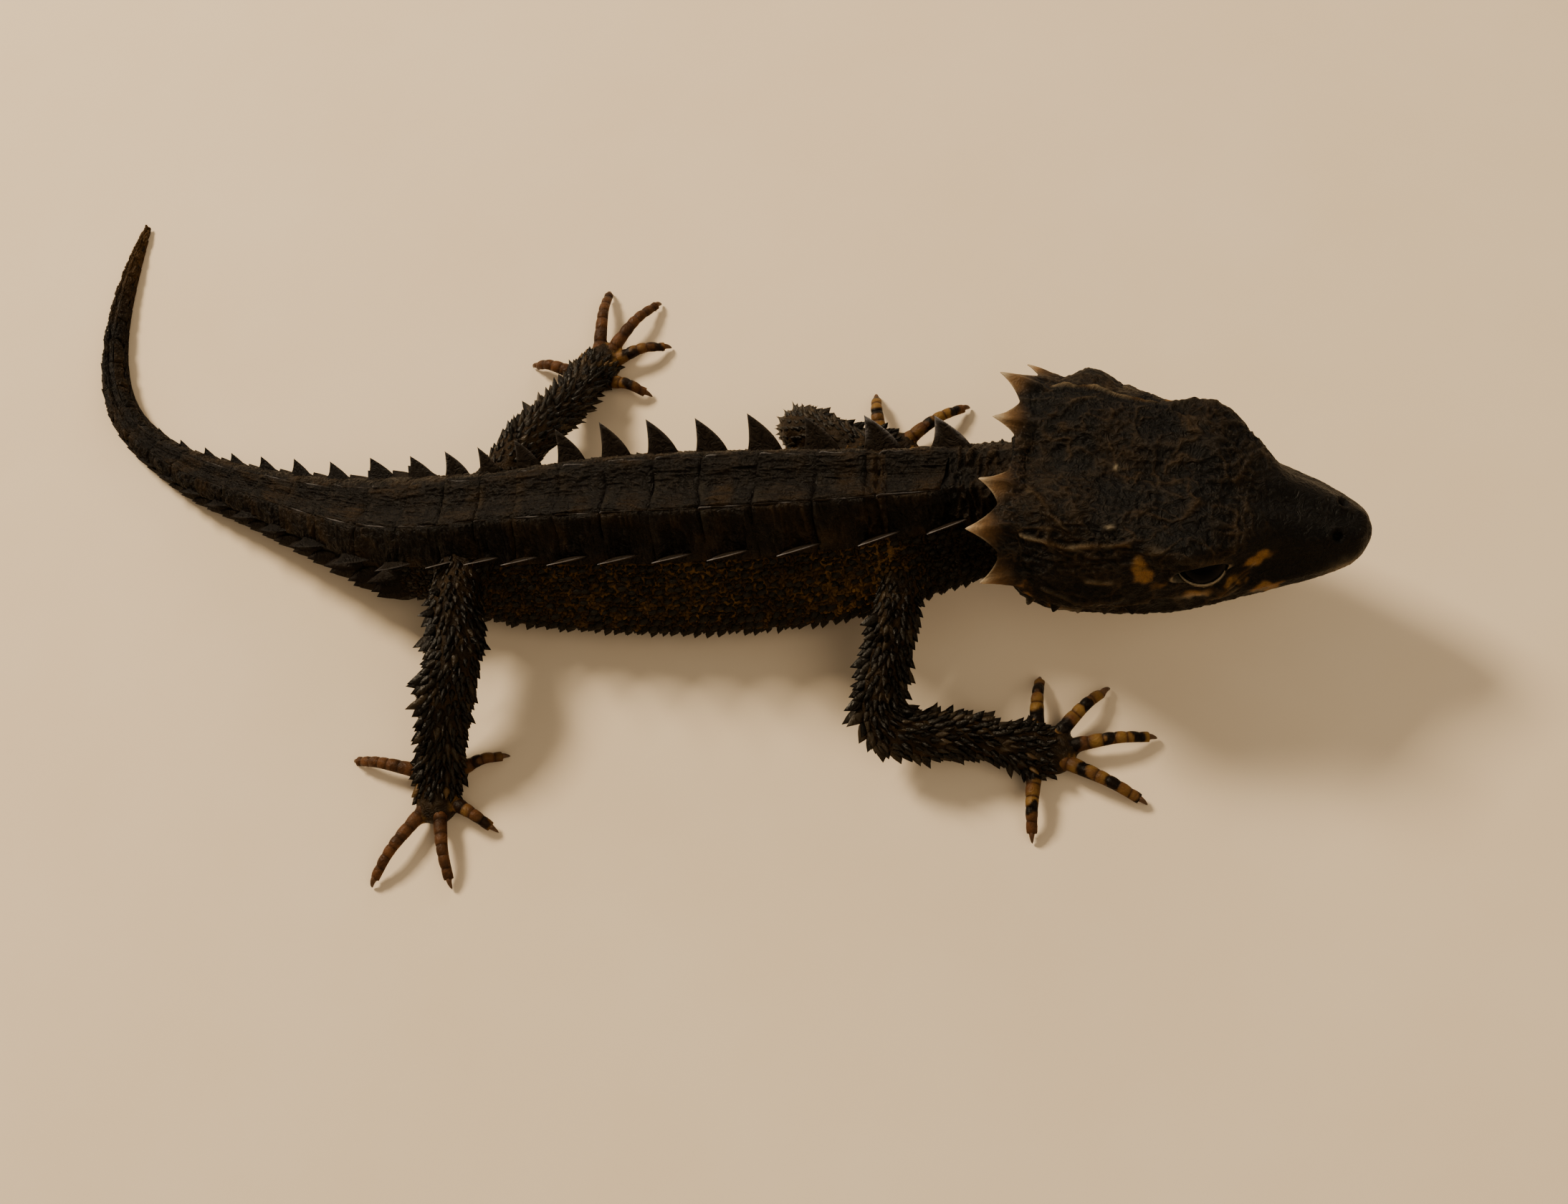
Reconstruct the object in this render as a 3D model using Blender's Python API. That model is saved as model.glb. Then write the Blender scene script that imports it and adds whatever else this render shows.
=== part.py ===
"""A half-grown crocodile skink standing on the floor, as a still, life-size model.

Sizes are in millimetres until solid() scales them.  +X points to the head, +Y to
the animal's left, +Z up, and the floor is at z = 0.  The body is one smooth axis
that runs back from the head joint; every spine, plate and tubercle is set on the
skin that the axis and its cross-sections give.
"""

import math
import random

import bmesh
import bpy
import numpy as np

MM = 0.001
ORIGIN = (-9.211, 6.016)
GAP = 0.3
UP = np.array((0.0, 0.0, 1.0))

# The body axis: where the neck leaves the head, how far back it runs, and the
# angle at which it runs back (0 is straight back, positive to the animal's left).
HEAD_YAW = -7.5
HEAD_ORIGIN = (15.6, 2.85)
NECK_SEAT = 1.2
AXIS_STEP = 0.1
AXIS_LENGTH = 91.1
AXIS_BEND = (
    (0.0, 5.5), (5.0, 0.3), (9.0, -1.5), (14.0, 0.0), (34.0, 0.0), (39.0, 3.0), (45.0, 12.0),
    (51.0, 19.0),
    (60.0, 22.0), (69.0, 38.0), (76.0, 68.0), (82.0, 84.0), (91.1, 95.0),
)

# Distance behind the head joint, half width, underside, top.
BODY = (
    (-1.0, 4.2, 7.3, 12.9), (0.0, 4.3, 6.9, 13.0), (2.3, 4.5, 5.6, 12.8),
    (5.8, 4.9, 3.6, 12.4), (9.8, 5.4, 2.1, 12.2), (14.8, 6.05, 1.2, 12.0),
    (20.8, 6.4, 0.9, 11.6), (26.8, 6.35, 0.85, 11.2), (31.8, 5.95, 0.9, 10.5),
    (35.8, 5.45, 1.0, 9.7), (38.8, 4.95, 1.1, 9.1), (41.8, 4.25, 1.4, 8.3),
    (44.8, 3.6, 1.6, 7.5), (47.8, 2.95, 1.7, 6.8), (50.8, 2.5, 1.6, 6.0),
    (56.8, 1.85, 0.9, 4.6), (62.8, 1.5, 0.2, 3.2), (66.8, 1.25, -0.08, 2.5),
    (74.0, 1.0, -0.08, 2.0), (81.0, 0.74, -0.06, 1.5), (87.0, 0.5, -0.05, 1.0),
    (91.1, 0.2, -0.03, 0.4),
)
# Half cross-sections from mid back (0) to mid belly (8): across and up, as shares.
TRUNK_SECTION = (
    (0, 0.0, 0.955), (1, 0.29, 1.0), (2, 0.46, 0.85), (3, 0.63, 0.69), (4, 0.80, 0.53),
    (5, 0.95, 0.36), (6, 0.97, 0.17), (7, 0.68, 0.03), (8, 0.0, 0.0),
)
TAIL_SECTION = (
    (0, 0.0, 0.95), (1, 0.42, 1.0), (2, 0.72, 0.86), (3, 0.92, 0.66), (4, 1.0, 0.5),
    (5, 0.95, 0.33), (6, 0.80, 0.15), (7, 0.48, 0.02), (8, 0.0, 0.0),
)
TAIL_STARTS = 36.0
TAIL_FULL = 46.0
BODY_SIDES = (0, 1, 2, 3, 4, 5, 6, 7, 8)

# One segment of the back carries two ridge plates, two side plates and two fins.
FIRST_SEGMENT = 4.2
SEGMENT_PITCH = (
    (0.0, 4.5), (8.6, 4.0), (14.0, 3.8), (20.0, 3.4), (30.0, 3.1), (37.0, 2.75),
    (40.0, 3.3), (46.0, 3.7), (52.0, 3.2), (60.0, 2.9), (78.0, 2.3),
)
# Body nodes: name, count of segments, spacing of the rings.
BODY_NODES = (
    ("neck", 1, 1.6), ("torso", 10, 2.4), ("tail_base", 3, 1.8), ("tail_middle", 4, 1.8),
    ("tail_rear", 5, 1.9), ("tail_tip", 0, 2.1),
)
PLATE_SHARE = 0.84
FIN_HEIGHT = (
    (0.0, 1.6), (4.2, 2.3), (9.0, 2.6), (15.0, 2.65), (28.0, 2.6), (36.0, 2.1), (44.0, 1.45),
    (52.0, 1.05), (60.0, 0.75), (70.0, 0.5), (78.0, 0.4),
)
FIN_LEAN = 33.0
# How far the rear end of a fin's foot is turned outwards, in degrees.
FIN_TOE = 10.0
# Each row of fins: its place round the body and, by distance, how far its fins stand
# behind the middles of their segments.  The right row has one fin fewer on the hips.
FIN_TURN_LEFT = 3.0
FIN_TURN_RIGHT = 2.75
FIN_BACK_LEFT = ((0.0, 0.1), (8.0, 0.6), (14.0, 0.8), (40.0, 0.7), (60.0, 0.2), (91.1, 0.0))
FIN_BACK_RIGHT = (
    (0.0, 0.0), (4.2, 0.0), (8.5, 0.3), (12.5, 1.35), (16.3, 2.1), (20.0, 2.2), (26.7, 2.7),
    (30.0, 2.9), (33.0, 2.6), (36.0, 2.5), (39.0, 1.0), (42.0, 0.3), (60.0, 0.2), (91.1, 0.0),
)
FIN_GAP_RIGHT = (37.5, 40.0)
TAIL_FIN_LEAN = 60.0
TAIL_ARMOUR_FINE = 50.0
KEEL_HEIGHT = ((0.0, 0.4), (9.0, 0.6), (36.0, 0.5), (44.0, 0.7), (56.0, 0.6), (78.0, 0.3))

# The stretch of the body that the limbs are kept clear of.
SHELL_FROM = 2.0
SHELL_TO = 50.0
SHELL_SPACING = 1.9

FLANK_FROM = 11.0
FLANK_TO = 36.0
FLANK_PITCH = 1.9
FLANK_ROWS = ((4.9, 0.5, 0.9), (5.8, 0.6, 0.95))

# The head: distance ahead of the casque's rear edge, top, dip of the mid line,
# crest half width and height, cheek half width and height, lip half width and
# height, jaw half width, chin.
HEAD = (
    (1.2, 14.6, 0.6, 4.4, 13.9, 5.6, 11.0, 5.2, 8.8, 3.6, 7.3),
    (2.4, 15.2, 0.6, 5.0, 14.6, 6.8, 11.2, 6.1, 8.6, 4.4, 6.8),
    (5.0, 15.2, 0.5, 5.2, 14.6, 7.6, 11.1, 6.8, 8.6, 4.8, 6.6),
    (8.0, 14.9, 0.4, 4.9, 14.3, 7.2, 11.1, 6.6, 8.5, 4.6, 6.7),
    (10.5, 14.5, 0.3, 5.2, 14.0, 6.2, 11.4, 6.3, 8.6, 4.4, 6.8),
    (13.2, 14.3, 0.2, 5.4, 13.8, 5.0, 11.4, 5.6, 8.8, 3.8, 7.0),
    (15.5, 13.3, 0.1, 3.9, 12.8, 3.9, 11.0, 4.8, 8.9, 3.2, 7.3),
    (17.5, 12.4, 0.1, 2.4, 11.9, 3.0, 10.7, 4.0, 9.0, 2.6, 7.5),
    (19.5, 11.7, 0.05, 1.9, 11.3, 2.5, 10.4, 3.2, 9.1, 2.0, 7.8),
    (21.2, 11.0, 0.0, 1.3, 10.7, 1.8, 10.1, 2.3, 9.2, 1.4, 8.1),
    (22.2, 10.6, 0.0, 1.0, 10.4, 1.35, 9.9, 1.4, 9.25, 0.8, 8.5),
    (22.7, 10.2, 0.0, 0.5, 10.1, 0.7, 9.8, 0.7, 9.35, 0.4, 8.9),
)
HEAD_RINGS = 17
EYE_AT = (13.3, 3.85, 11.55)
EYE_RADIUS = 1.6
EYE_LOOK = (0.12, 0.97, 0.2)
LID_RADIUS = 1.75
LID_THICK = 0.42
NOSTRIL_AT = (21.0, 1.75, 10.55)
NOSTRIL_RADIUS = 0.3
# Spines of the casque: root and tip ahead of the rear edge, across and up, and the
# half width and half height of the root.
CASQUE_SPINES = (
    ((3.4, 1.9, 14.5), (0.1, 2.15, 15.5), 0.85, 0.5),
    ((4.0, 4.6, 14.3), (-0.1, 5.35, 15.1), 1.1, 0.65),
    ((4.6, 6.7, 12.2), (0.8, 7.6, 12.6), 1.0, 0.75),
)
CREST_PLATES = 5
CHEEK_PLATES = 4

# Limbs: joints from the root to the end of the palm or sole, each with its place
# and its half width and half height; the cuts are at the named joints.
ARM_RIGHT = (
    (9.6, 0.5, 7.2, 2.1, 2.1), (9.0, -4.4, 6.0, 1.7, 1.7), (8.5, -7.3, 5.0, 1.6, 1.6),
    (8.2, -9.3, 4.1, 1.6, 1.6), (8.9, -10.5, 3.5, 1.6, 1.6), (10.7, -10.8, 3.0, 1.5, 1.5),
    (13.2, -10.5, 2.5, 1.45, 1.4),
    (15.9, -10.8, 1.9, 1.3, 1.2), (18.1, -10.9, 1.0, 1.75, 1.25), (19.7, -10.8, 0.8, 1.3, 1.0),
    (20.3, -10.8, 0.7, 0.5, 0.4),
)
ARM_LEFT = (
    (9.2, 4.5, 7.4, 2.1, 2.1), (6.0, 7.2, 7.0, 1.7, 1.7), (3.4, 8.8, 6.7, 1.6, 1.6),
    (1.5, 9.9, 5.8, 1.55, 1.5), (1.0, 10.8, 4.5, 1.5, 1.45), (1.8, 11.2, 3.3, 1.45, 1.4),
    (3.2, 11.0, 2.4, 1.4, 1.35),
    (4.7, 10.7, 1.9, 1.3, 1.2), (6.4, 10.8, 1.0, 1.75, 1.25), (7.9, 11.1, 0.8, 1.3, 1.0),
    (8.5, 11.3, 0.7, 0.5, 0.4),
)
LEG_RIGHT = (
    (-20.9, 1.5, 6.0, 2.5, 2.5), (-20.7, -3.1, 6.3, 2.15, 2.1), (-20.2, -6.4, 6.0, 1.9, 1.9),
    (-20.8, -8.9, 4.9, 1.75, 1.75), (-21.3, -10.8, 3.4, 1.6, 1.6), (-21.6, -12.3, 2.2, 1.45, 1.4),
    (-21.9, -14.6, 1.0, 1.6, 1.25), (-21.9, -16.2, 0.8, 1.25, 1.0), (-21.9, -16.8, 0.7, 0.5, 0.4),
)
LEG_LEFT = (
    (-20.2, 4.5, 5.6, 2.4, 2.4), (-19.0, 8.0, 5.5, 2.0, 2.0), (-17.9, 10.5, 4.9, 1.75, 1.75),
    (-17.1, 12.7, 3.8, 1.6, 1.6), (-16.6, 14.2, 2.9, 1.5, 1.5), (-16.2, 16.0, 2.1, 1.4, 1.35),
    (-15.6, 18.3, 1.0, 1.6, 1.25), (-15.1, 19.6, 0.8, 1.25, 1.0), (-14.9, 20.2, 0.7, 0.5, 0.4),
)
# Name stems, joints, the joint of the middle cut and of the last cut, the joint at
# the middle of the sole, and for each digit its direction, reach and root set back.
LIMBS = (
    ("upper_arm_right", "forearm_right", "hand_right", ARM_RIGHT, 4, 7, 8,
     ((91, 4.5, 0.4), (50, 5.2, 0), (11, 6.2, 0), (-25, 6.3, 0), (-90, 4.8, 0.4))),
    ("upper_arm_left", "forearm_left", "hand_left", ARM_LEFT, 4, 7, 8,
     ((-80, 4.5, 0.4), (-40, 5.0, 0), (-4, 5.9, 0), (37, 5.6, 0), (101, 4.3, 0.4))),
    ("thigh_right", "shank_right", "foot_right", LEG_RIGHT, 2, 5, 6,
     ((26, 3.8, 1.0), (-28, 4.0, 0), (-74, 5.6, 0), (-121, 6.5, 0), (170, 6.0, 1.2))),
    ("thigh_left", "shank_left", "foot_left", LEG_LEFT, 2, 5, 6,
     ((-14, 3.7, 1.0), (22, 4.5, 0), (57, 6.0, 0), (92, 6.0, 0), (162, 4.3, 1.0))),
)
LIMB_SIDES = 8
SPIKE_PITCH = 1.35
SPIKE_AROUND = 5
SPIKE_HEIGHT = 0.75
SPIKE_WIDTH = 1.05
DIGIT_RADII = (0.72, 0.62, 0.5, 0.42)
CLAW_REACH = 0.95
CLAW_RADIUS = 0.3
TIP_HEIGHT = 0.7
ARCH_HEIGHT = 1.35

BLACK_BROWN = (0.035, 0.024, 0.017)
HEAD_BROWN = (0.065, 0.038, 0.023)
TOE_BROWN = (0.30, 0.13, 0.04)
TAIL_GREY = (0.05, 0.04, 0.032)
EYE_BLACK = (0.012, 0.009, 0.008)


def smooth(table, at):
    """The other columns of a table at a value of its first, on a smooth curve."""
    rows = np.array(table, float)
    first = rows[:, 0]
    at = min(max(at, first[0]), first[-1])
    i = int(np.clip(np.searchsorted(first, at) - 1, 0, len(first) - 2))
    before, after = max(i - 1, 0), min(i + 2, len(first) - 1)
    step = first[i + 1] - first[i]
    rise_in = (rows[i + 1] - rows[before]) / (first[i + 1] - first[before]) * step
    rise_out = (rows[after] - rows[i]) / (first[after] - first[i]) * step
    t = (at - first[i]) / step
    value = (
        (2 * t ** 3 - 3 * t ** 2 + 1) * rows[i] + (t ** 3 - 2 * t ** 2 + t) * rise_in
        + (3 * t ** 2 - 2 * t ** 3) * rows[i + 1] + (t ** 3 - t ** 2) * rise_out
    )
    return value[1:]


def unit(vector):
    """A vector at length one."""
    return np.asarray(vector, float) / np.linalg.norm(vector)


def head_place(along, across, up):
    """A point given in the head's own directions, in the model's frame."""
    yaw = math.radians(HEAD_YAW)
    x = HEAD_ORIGIN[0] + along * math.cos(yaw) - across * math.sin(yaw)
    y = HEAD_ORIGIN[1] + along * math.sin(yaw) + across * math.cos(yaw)
    return np.array((x, y, up))


def body_axis():
    """Distances behind the head joint, with the axis point and bend at each."""
    at = head_place(NECK_SEAT, 0.0, 0.0)[:2]
    rows = []
    for i in range(int(AXIS_LENGTH / AXIS_STEP) + 2):
        bend = math.radians(smooth(AXIS_BEND, i * AXIS_STEP)[0])
        rows.append((i * AXIS_STEP, at[0], at[1], bend))
        at = at + AXIS_STEP * np.array((-math.cos(bend), math.sin(bend)))
    return np.array(rows)


AXIS = body_axis()


def axis_at(distance):
    """The axis point, the way back along it and the way to the left."""
    x, y, bend = (np.interp(distance, AXIS[:, 0], AXIS[:, i]) for i in (1, 2, 3))
    back = np.array((-math.cos(bend), math.sin(bend), 0.0))
    left = np.array((math.sin(bend), math.cos(bend), 0.0))
    point = np.array((x, y, 0.0)) + back * min(distance, 0.0)
    return point, back, left


def section_at(section, k):
    """Across and up shares of a half cross-section, smooth over both mid lines."""
    rows = [(-r[0], -r[1], r[2]) for r in section[1:3]][::-1] + list(section)
    rows += [(16 - r[0], -r[1], r[2]) for r in section[-3:-1][::-1]]
    return smooth(rows, k)


def body_point(distance, k, side, grow=0.0):
    """The skin at a distance, a place k from mid back (0) to mid belly (8), and a side."""
    half, under, top = smooth(BODY, distance)
    tail = tail_share(distance)
    share = (1 - tail) * section_at(TRUNK_SECTION, k) + tail * section_at(TAIL_SECTION, k)
    point, _, left = axis_at(distance)
    across = side * share[0] * (half + grow)
    up = under - grow + share[1] * (top - under + 2 * grow)
    return point + left * across + UP * max(up, 0.0)


def head_half(along, k):
    """Across and up of the upper head from mid line (0) to lip edge (5)."""
    top, dip, crest, crest_up, cheek, cheek_up, lip, lip_up = smooth(HEAD, along)[:8]
    lip_rise = GAP / 2 + 0.25 * (cheek_up - lip_up)
    rows = (
        (-1, -0.55 * crest, top), (0, 0.0, top - dip), (1, 0.55 * crest, top),
        (2, crest, crest_up), (3, cheek, cheek_up), (4, lip, lip_up + lip_rise),
        (5, 0.96 * lip, lip_up + GAP / 2),
    )
    return smooth(rows, k)


def head_point(along, k, side, grow=0.0):
    """The upper head's skin."""
    across, up = head_half(along, k)
    return head_place(along, side * (across + grow), up + grow)


def local_frame(surface, at, k, side):
    """A surface point with the way back, the way across and the way out there."""
    here = surface(at, k, side)
    back = unit(surface(at + 0.3, k, side) - surface(at - 0.3, k, side))
    across = surface(at, k + 0.1, side) - surface(at, k - 0.1, side)
    out = unit(np.cross(across, back) * side)
    if surface is head_point:
        back, out = -back, -out
    return here, back, out


def solid(name, verts, faces):
    """A mesh object from points in millimetres."""
    mesh = bpy.data.meshes.new(name)
    shift = np.array((-ORIGIN[0], -ORIGIN[1], 0.0))
    points = [tuple((np.asarray(v, float) + shift) * MM) for v in verts]
    mesh.from_pydata(points, [], faces)
    form = bmesh.new()
    form.from_mesh(mesh)
    bmesh.ops.recalc_face_normals(form, faces=form.faces)
    bmesh.ops.triangulate(form, faces=form.faces)
    form.to_mesh(mesh)
    form.free()
    obj = bpy.data.objects.new(name, mesh)
    bpy.context.scene.collection.objects.link(obj)
    return obj


def loft(name, rings):
    """A closed body through rings of points, with flat ends."""
    count = len(rings[0])
    verts = [p for ring in rings for p in ring]
    faces = []
    for r in range(len(rings) - 1):
        for i in range(count):
            j = (i + 1) % count
            low, high = r * count, (r + 1) * count
            faces.append((low + i, low + j, high + j, high + i))
    for start, ring in ((0, rings[0]), ((len(rings) - 1) * count, rings[-1])):
        verts.append(np.mean(ring, axis=0))
        middle = len(verts) - 1
        faces += [(start + i, start + (i + 1) % count, middle) for i in range(count)]
    return solid(name, verts, faces)


def thorn(root, back, out, length, height, width, hook=0.5, sink=0.45):
    """A thorn: a root with four corners, a narrower waist set back, and a tip behind."""
    side = unit(np.cross(back, out))
    verts = []
    for level, shift, long, wide in ((-sink, 0.0, 0.5, 0.5), (0.45 * height, 0.22, 0.28, 0.36)):
        for i in range(4):
            turn = 0.5 * math.pi * i
            verts.append(root + out * level + back * length * (shift + long * math.cos(turn))
                         + side * width * wide * math.sin(turn))
    verts.append(root + out * height + back * length * hook)
    faces = [(0, 1, 2, 3)]
    faces += [(i, (i + 1) % 4, 4 + (i + 1) % 4, 4 + i) for i in range(4)]
    faces += [(4 + i, 4 + (i + 1) % 4, 8) for i in range(4)]
    return solid("thorn", verts, faces)


def scute(root, back, out, length, width, height, keel, sink=0.4):
    """A plate with six corners and a keel that rises to a point at the rear."""
    side = unit(np.cross(back, out))
    outline = ((-0.5, 0.36), (0.0, 0.5), (0.5, 0.34), (0.5, -0.34), (0.0, -0.5), (-0.5, -0.36))
    verts = []
    for level, share in ((-sink, 1.0), (height, 0.86)):
        for along, across in outline:
            verts.append(root + out * level + back * length * along * share
                         + side * width * across * share)
    verts.append(root + out * (height + 0.35 * keel) - back * length * 0.25)
    verts.append(root + out * (height + keel) + back * length * 0.46)
    faces = [(0, 1, 2, 3, 4, 5)]
    faces += [(i, (i + 1) % 6, 6 + (i + 1) % 6, 6 + i) for i in range(6)]
    faces += [(6, 7, 12), (7, 13, 12), (7, 8, 13), (8, 9, 13), (9, 10, 13), (10, 12, 13),
              (10, 11, 12), (11, 6, 12)]
    return solid("scute", verts, faces)


def spike(root, back, out, height, width, hook=0.5, sink=0.3):
    """A small pointed scale with four sides that leans back."""
    side = unit(np.cross(back, out))
    low = root - out * sink
    verts = [low - back * width * 0.6, low + side * width * 0.5, low + back * width * 0.5,
             low - side * width * 0.5, root + out * height + back * hook * width]
    faces = [(0, 1, 2, 3), (0, 1, 4), (1, 2, 4), (2, 3, 4), (3, 0, 4)]
    return solid("spike", verts, faces)


def tent(root, back, out, length, width, height, sink=0.4):
    """A low scale with six corners that rises to a short ridge."""
    side = unit(np.cross(back, out))
    outline = ((-0.5, 0.34), (0.0, 0.5), (0.5, 0.3), (0.5, -0.3), (0.0, -0.5), (-0.5, -0.34))
    verts = [root - out * sink + back * length * a + side * width * c for a, c in outline]
    verts.append(root + out * height * 0.6 - back * length * 0.2)
    verts.append(root + out * height + back * length * 0.34)
    faces = [(0, 1, 2, 3, 4, 5)]
    faces += [(0, 1, 6), (1, 7, 6), (1, 2, 7), (2, 3, 7), (3, 4, 7), (4, 6, 7), (4, 5, 6),
              (5, 0, 6)]
    return solid("tent", verts, faces)


def tangents(path):
    """The way ahead at each point of a path."""
    path = np.asarray(path, float)
    last = len(path) - 1
    return [unit(path[min(i + 1, last)] - path[max(i - 1, 0)]) for i in range(last + 1)]


def sweep(name, path, widths, heights, sides, ways=None):
    """A tube of oval rings along a path, never lower than the floor."""
    ways = tangents(path) if ways is None else ways
    rings = []
    for i, (point, ahead) in enumerate(zip(path, ways)):
        across = unit(np.cross(ahead, UP))
        over = np.cross(across, ahead)
        ring = []
        for j in range(sides):
            turn = 2 * math.pi * (j + 0.5) / sides
            at = point + across * widths[i] * math.cos(turn) + over * heights[i] * math.sin(turn)
            ring.append((at[0], at[1], max(at[2], 0.0)))
        rings.append(ring)
    return loft(name, rings)


def join_by(operation, target, others):
    """One Boolean of a collection of closed bodies on the target, then applied."""
    if not others:
        return
    group = bpy.data.collections.new("operands")
    for other in others:
        bpy.context.scene.collection.objects.unlink(other)
        group.objects.link(other)
    change = target.modifiers.new("join", "BOOLEAN")
    change.operation = operation
    change.solver = "MANIFOLD"
    change.operand_type = "COLLECTION"
    change.collection = group
    bpy.context.scene.collection.children.link(group)
    result = bpy.data.meshes.new_from_object(
        target.evaluated_get(bpy.context.evaluated_depsgraph_get()))
    target.modifiers.remove(change)
    target.data = result
    for other in others:
        bpy.data.objects.remove(other)
    bpy.data.collections.remove(group)
    keep_largest(target)


def keep_largest(obj):
    """Only the largest closed surface of a mesh stays."""
    form = bmesh.new()
    form.from_mesh(obj.data)
    bmesh.ops.remove_doubles(form, verts=form.verts, dist=1e-6)
    bmesh.ops.triangulate(form, faces=form.faces)
    unseen = set(form.faces)
    pieces = []
    while unseen:
        piece = {unseen.pop()}
        edge_of = list(piece)
        while edge_of:
            face = edge_of.pop()
            near = {f for e in face.edges for f in e.link_faces} & unseen
            unseen -= near
            piece |= near
            edge_of += near
        pieces.append(piece)
    largest = max(pieces, key=lambda piece: sum(face.calc_area() for face in piece))
    loose = [face for piece in pieces if piece is not largest for face in piece]
    bmesh.ops.delete(form, geom=loose, context="FACES")
    form.to_mesh(obj.data)
    form.free()


def paint(obj, colour, roughness=0.6):
    """A material of its own for one object."""
    material = bpy.data.materials.new(obj.name)
    material.use_nodes = True
    shader = material.node_tree.nodes["Principled BSDF"]
    shader.inputs["Base Color"].default_value = (*colour, 1.0)
    shader.inputs["Roughness"].default_value = roughness
    obj.data.materials.clear()
    obj.data.materials.append(material)


def body_rings(first, last, spacing, grow=0.0):
    """Rings of the body between two distances."""
    count = max(2, round((last - first) / spacing) + 1)
    rings = []
    for i in range(count):
        distance = first + (last - first) * i / (count - 1)
        left = [body_point(distance, k, 1, grow) for k in BODY_SIDES]
        right = [body_point(distance, k, -1, grow) for k in BODY_SIDES[1:-1]]
        rings.append(left + right[::-1])
    return rings


def segments(count):
    """The distance and pitch of the first segments of the back."""
    found = []
    at = FIRST_SEGMENT
    for _ in range(count):
        pitch = smooth(SEGMENT_PITCH, at)[0]
        found.append((at, pitch))
        at += pitch
    return found


def tail_share(at):
    """How far the trunk has turned into tail at a distance, from 0 to 1."""
    return min(max((at - TAIL_STARTS) / (TAIL_FULL - TAIL_STARTS), 0.0), 1.0)


def fin(at, pitch, side, vary, grow=0.0):
    """The fin of one segment and side, or that fin made thicker all over."""
    tail = tail_share(at)
    tall = smooth(FIN_HEIGHT, at)[0] * vary
    lean = math.radians((1 - tail) * FIN_LEAN + tail * TAIL_FIN_LEAN)
    shift = FIN_BACK_LEFT if side > 0 else FIN_BACK_RIGHT
    turn = FIN_TURN_LEFT if side > 0 else FIN_TURN_RIGHT
    spot = at + smooth(shift, at)[0]
    root, back, _ = local_frame(body_point, spot, turn, side)
    left = axis_at(spot)[2]
    out = unit(UP * math.cos(lean) + left * side * math.sin(lean))
    toe = math.radians((1 - tail) * FIN_TOE)
    back = unit(back * math.cos(toe) + left * side * math.sin(toe))
    long = (0.76 + 0.02 * tail) * pitch
    root = root - back * (0.5 * PLATE_SHARE * pitch - 0.5 * long)
    wide = 0.5 + 0.14 * tall
    return thorn(root, back, out, long + 2 * grow, tall + grow, wide + 3 * grow)


def has_fin(at, side):
    """Whether a segment carries a fin on a side."""
    return side > 0 or not FIN_GAP_RIGHT[0] < at < FIN_GAP_RIGHT[1]


def back_armour(row, chance):
    """Plates and fins of a row of segments."""
    pieces = []
    for at, pitch in row:
        tail = tail_share(at)
        half = smooth(BODY, at)[0]
        keel = smooth(KEEL_HEIGHT, at)[0]
        for side in (1, -1):
            vary = 1 + 0.08 * (chance.random() - 0.5)
            root, back, out = local_frame(body_point, at, 1.0, side)
            out = unit(out + UP)
            width = (0.30 if tail < 0.5 else 0.5) * half
            if at < TAIL_ARMOUR_FINE:
                long = PLATE_SHARE * pitch
                pieces.append(scute(root, back, out, long, width, 0.12, keel * vary))
            else:
                pieces.append(tent(root, back, out, PLATE_SHARE * pitch, width, keel * vary))
            if at < TAIL_FULL:
                root, back, out = local_frame(body_point, at, 2.0, side)
                pieces.append(tent(root, back, out, PLATE_SHARE * pitch, 0.36 * half, 0.28))
            if has_fin(at, side):
                pieces.append(fin(at, pitch, side, vary))
    return pieces


def near_limb(point, margin):
    """Whether a point of the skin lies over the root of a limb."""
    for limb in LIMBS:
        path, widths, _ = limb_path(limb[3])
        gap = np.linalg.norm(path - point, axis=1) - widths
        if gap.min() < margin:
            return True
    return False


def flank_tubercles(first, last, chance):
    """Rows of pointed tubercles low on both flanks."""
    pieces = []
    for row, (k, tall, wide) in enumerate(FLANK_ROWS):
        at = max(first, FLANK_FROM) + 0.5 * FLANK_PITCH * (row % 2)
        while at < min(last, FLANK_TO):
            for side in (1, -1):
                root, back, out = local_frame(body_point, at, k, side)
                if near_limb(root, 1.1):
                    continue
                vary = 1 + 0.3 * (chance.random() - 0.5)
                pieces.append(spike(root, back, out, tall * vary, wide))
            at += FLANK_PITCH
    return pieces


def limb_path(joints):
    """A smooth path through a limb's joints, its half widths and half heights."""
    joints = np.array(joints)
    steps = np.linalg.norm(np.diff(joints[:, :3], axis=0), axis=1)
    rows = np.column_stack((np.concatenate(([0.0], np.cumsum(steps))), joints))
    along = np.arange(0.0, rows[-1, 0] + 0.05, 0.1)
    read = np.array([smooth(rows, at) for at in along])
    return read[:, :3], read[:, 3], read[:, 4]


def joint_index(joints, number):
    """The place of a joint on its limb's path."""
    path = limb_path(joints)[0]
    return int(np.argmin(np.linalg.norm(path - np.array(joints[number][:3]), axis=1)))


def stretch(name, joints, first, last, spacing, cuts=()):
    """One length of a limb as a tube, its end rings square to the limb at the cuts."""
    path, widths, heights = limb_path(joints)
    count = max(3, round((last - first) * 0.1 / spacing) + 1)
    pick = np.linspace(first, last, count).round().astype(int)
    ahead = np.array(tangents(path))
    ways = ahead[pick]
    for cut in cuts:
        ways[0 if cut < first else -1] = ahead[cut]
    return sweep(name, path[pick], widths[pick], heights[pick], LIMB_SIDES, ways)


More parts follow.
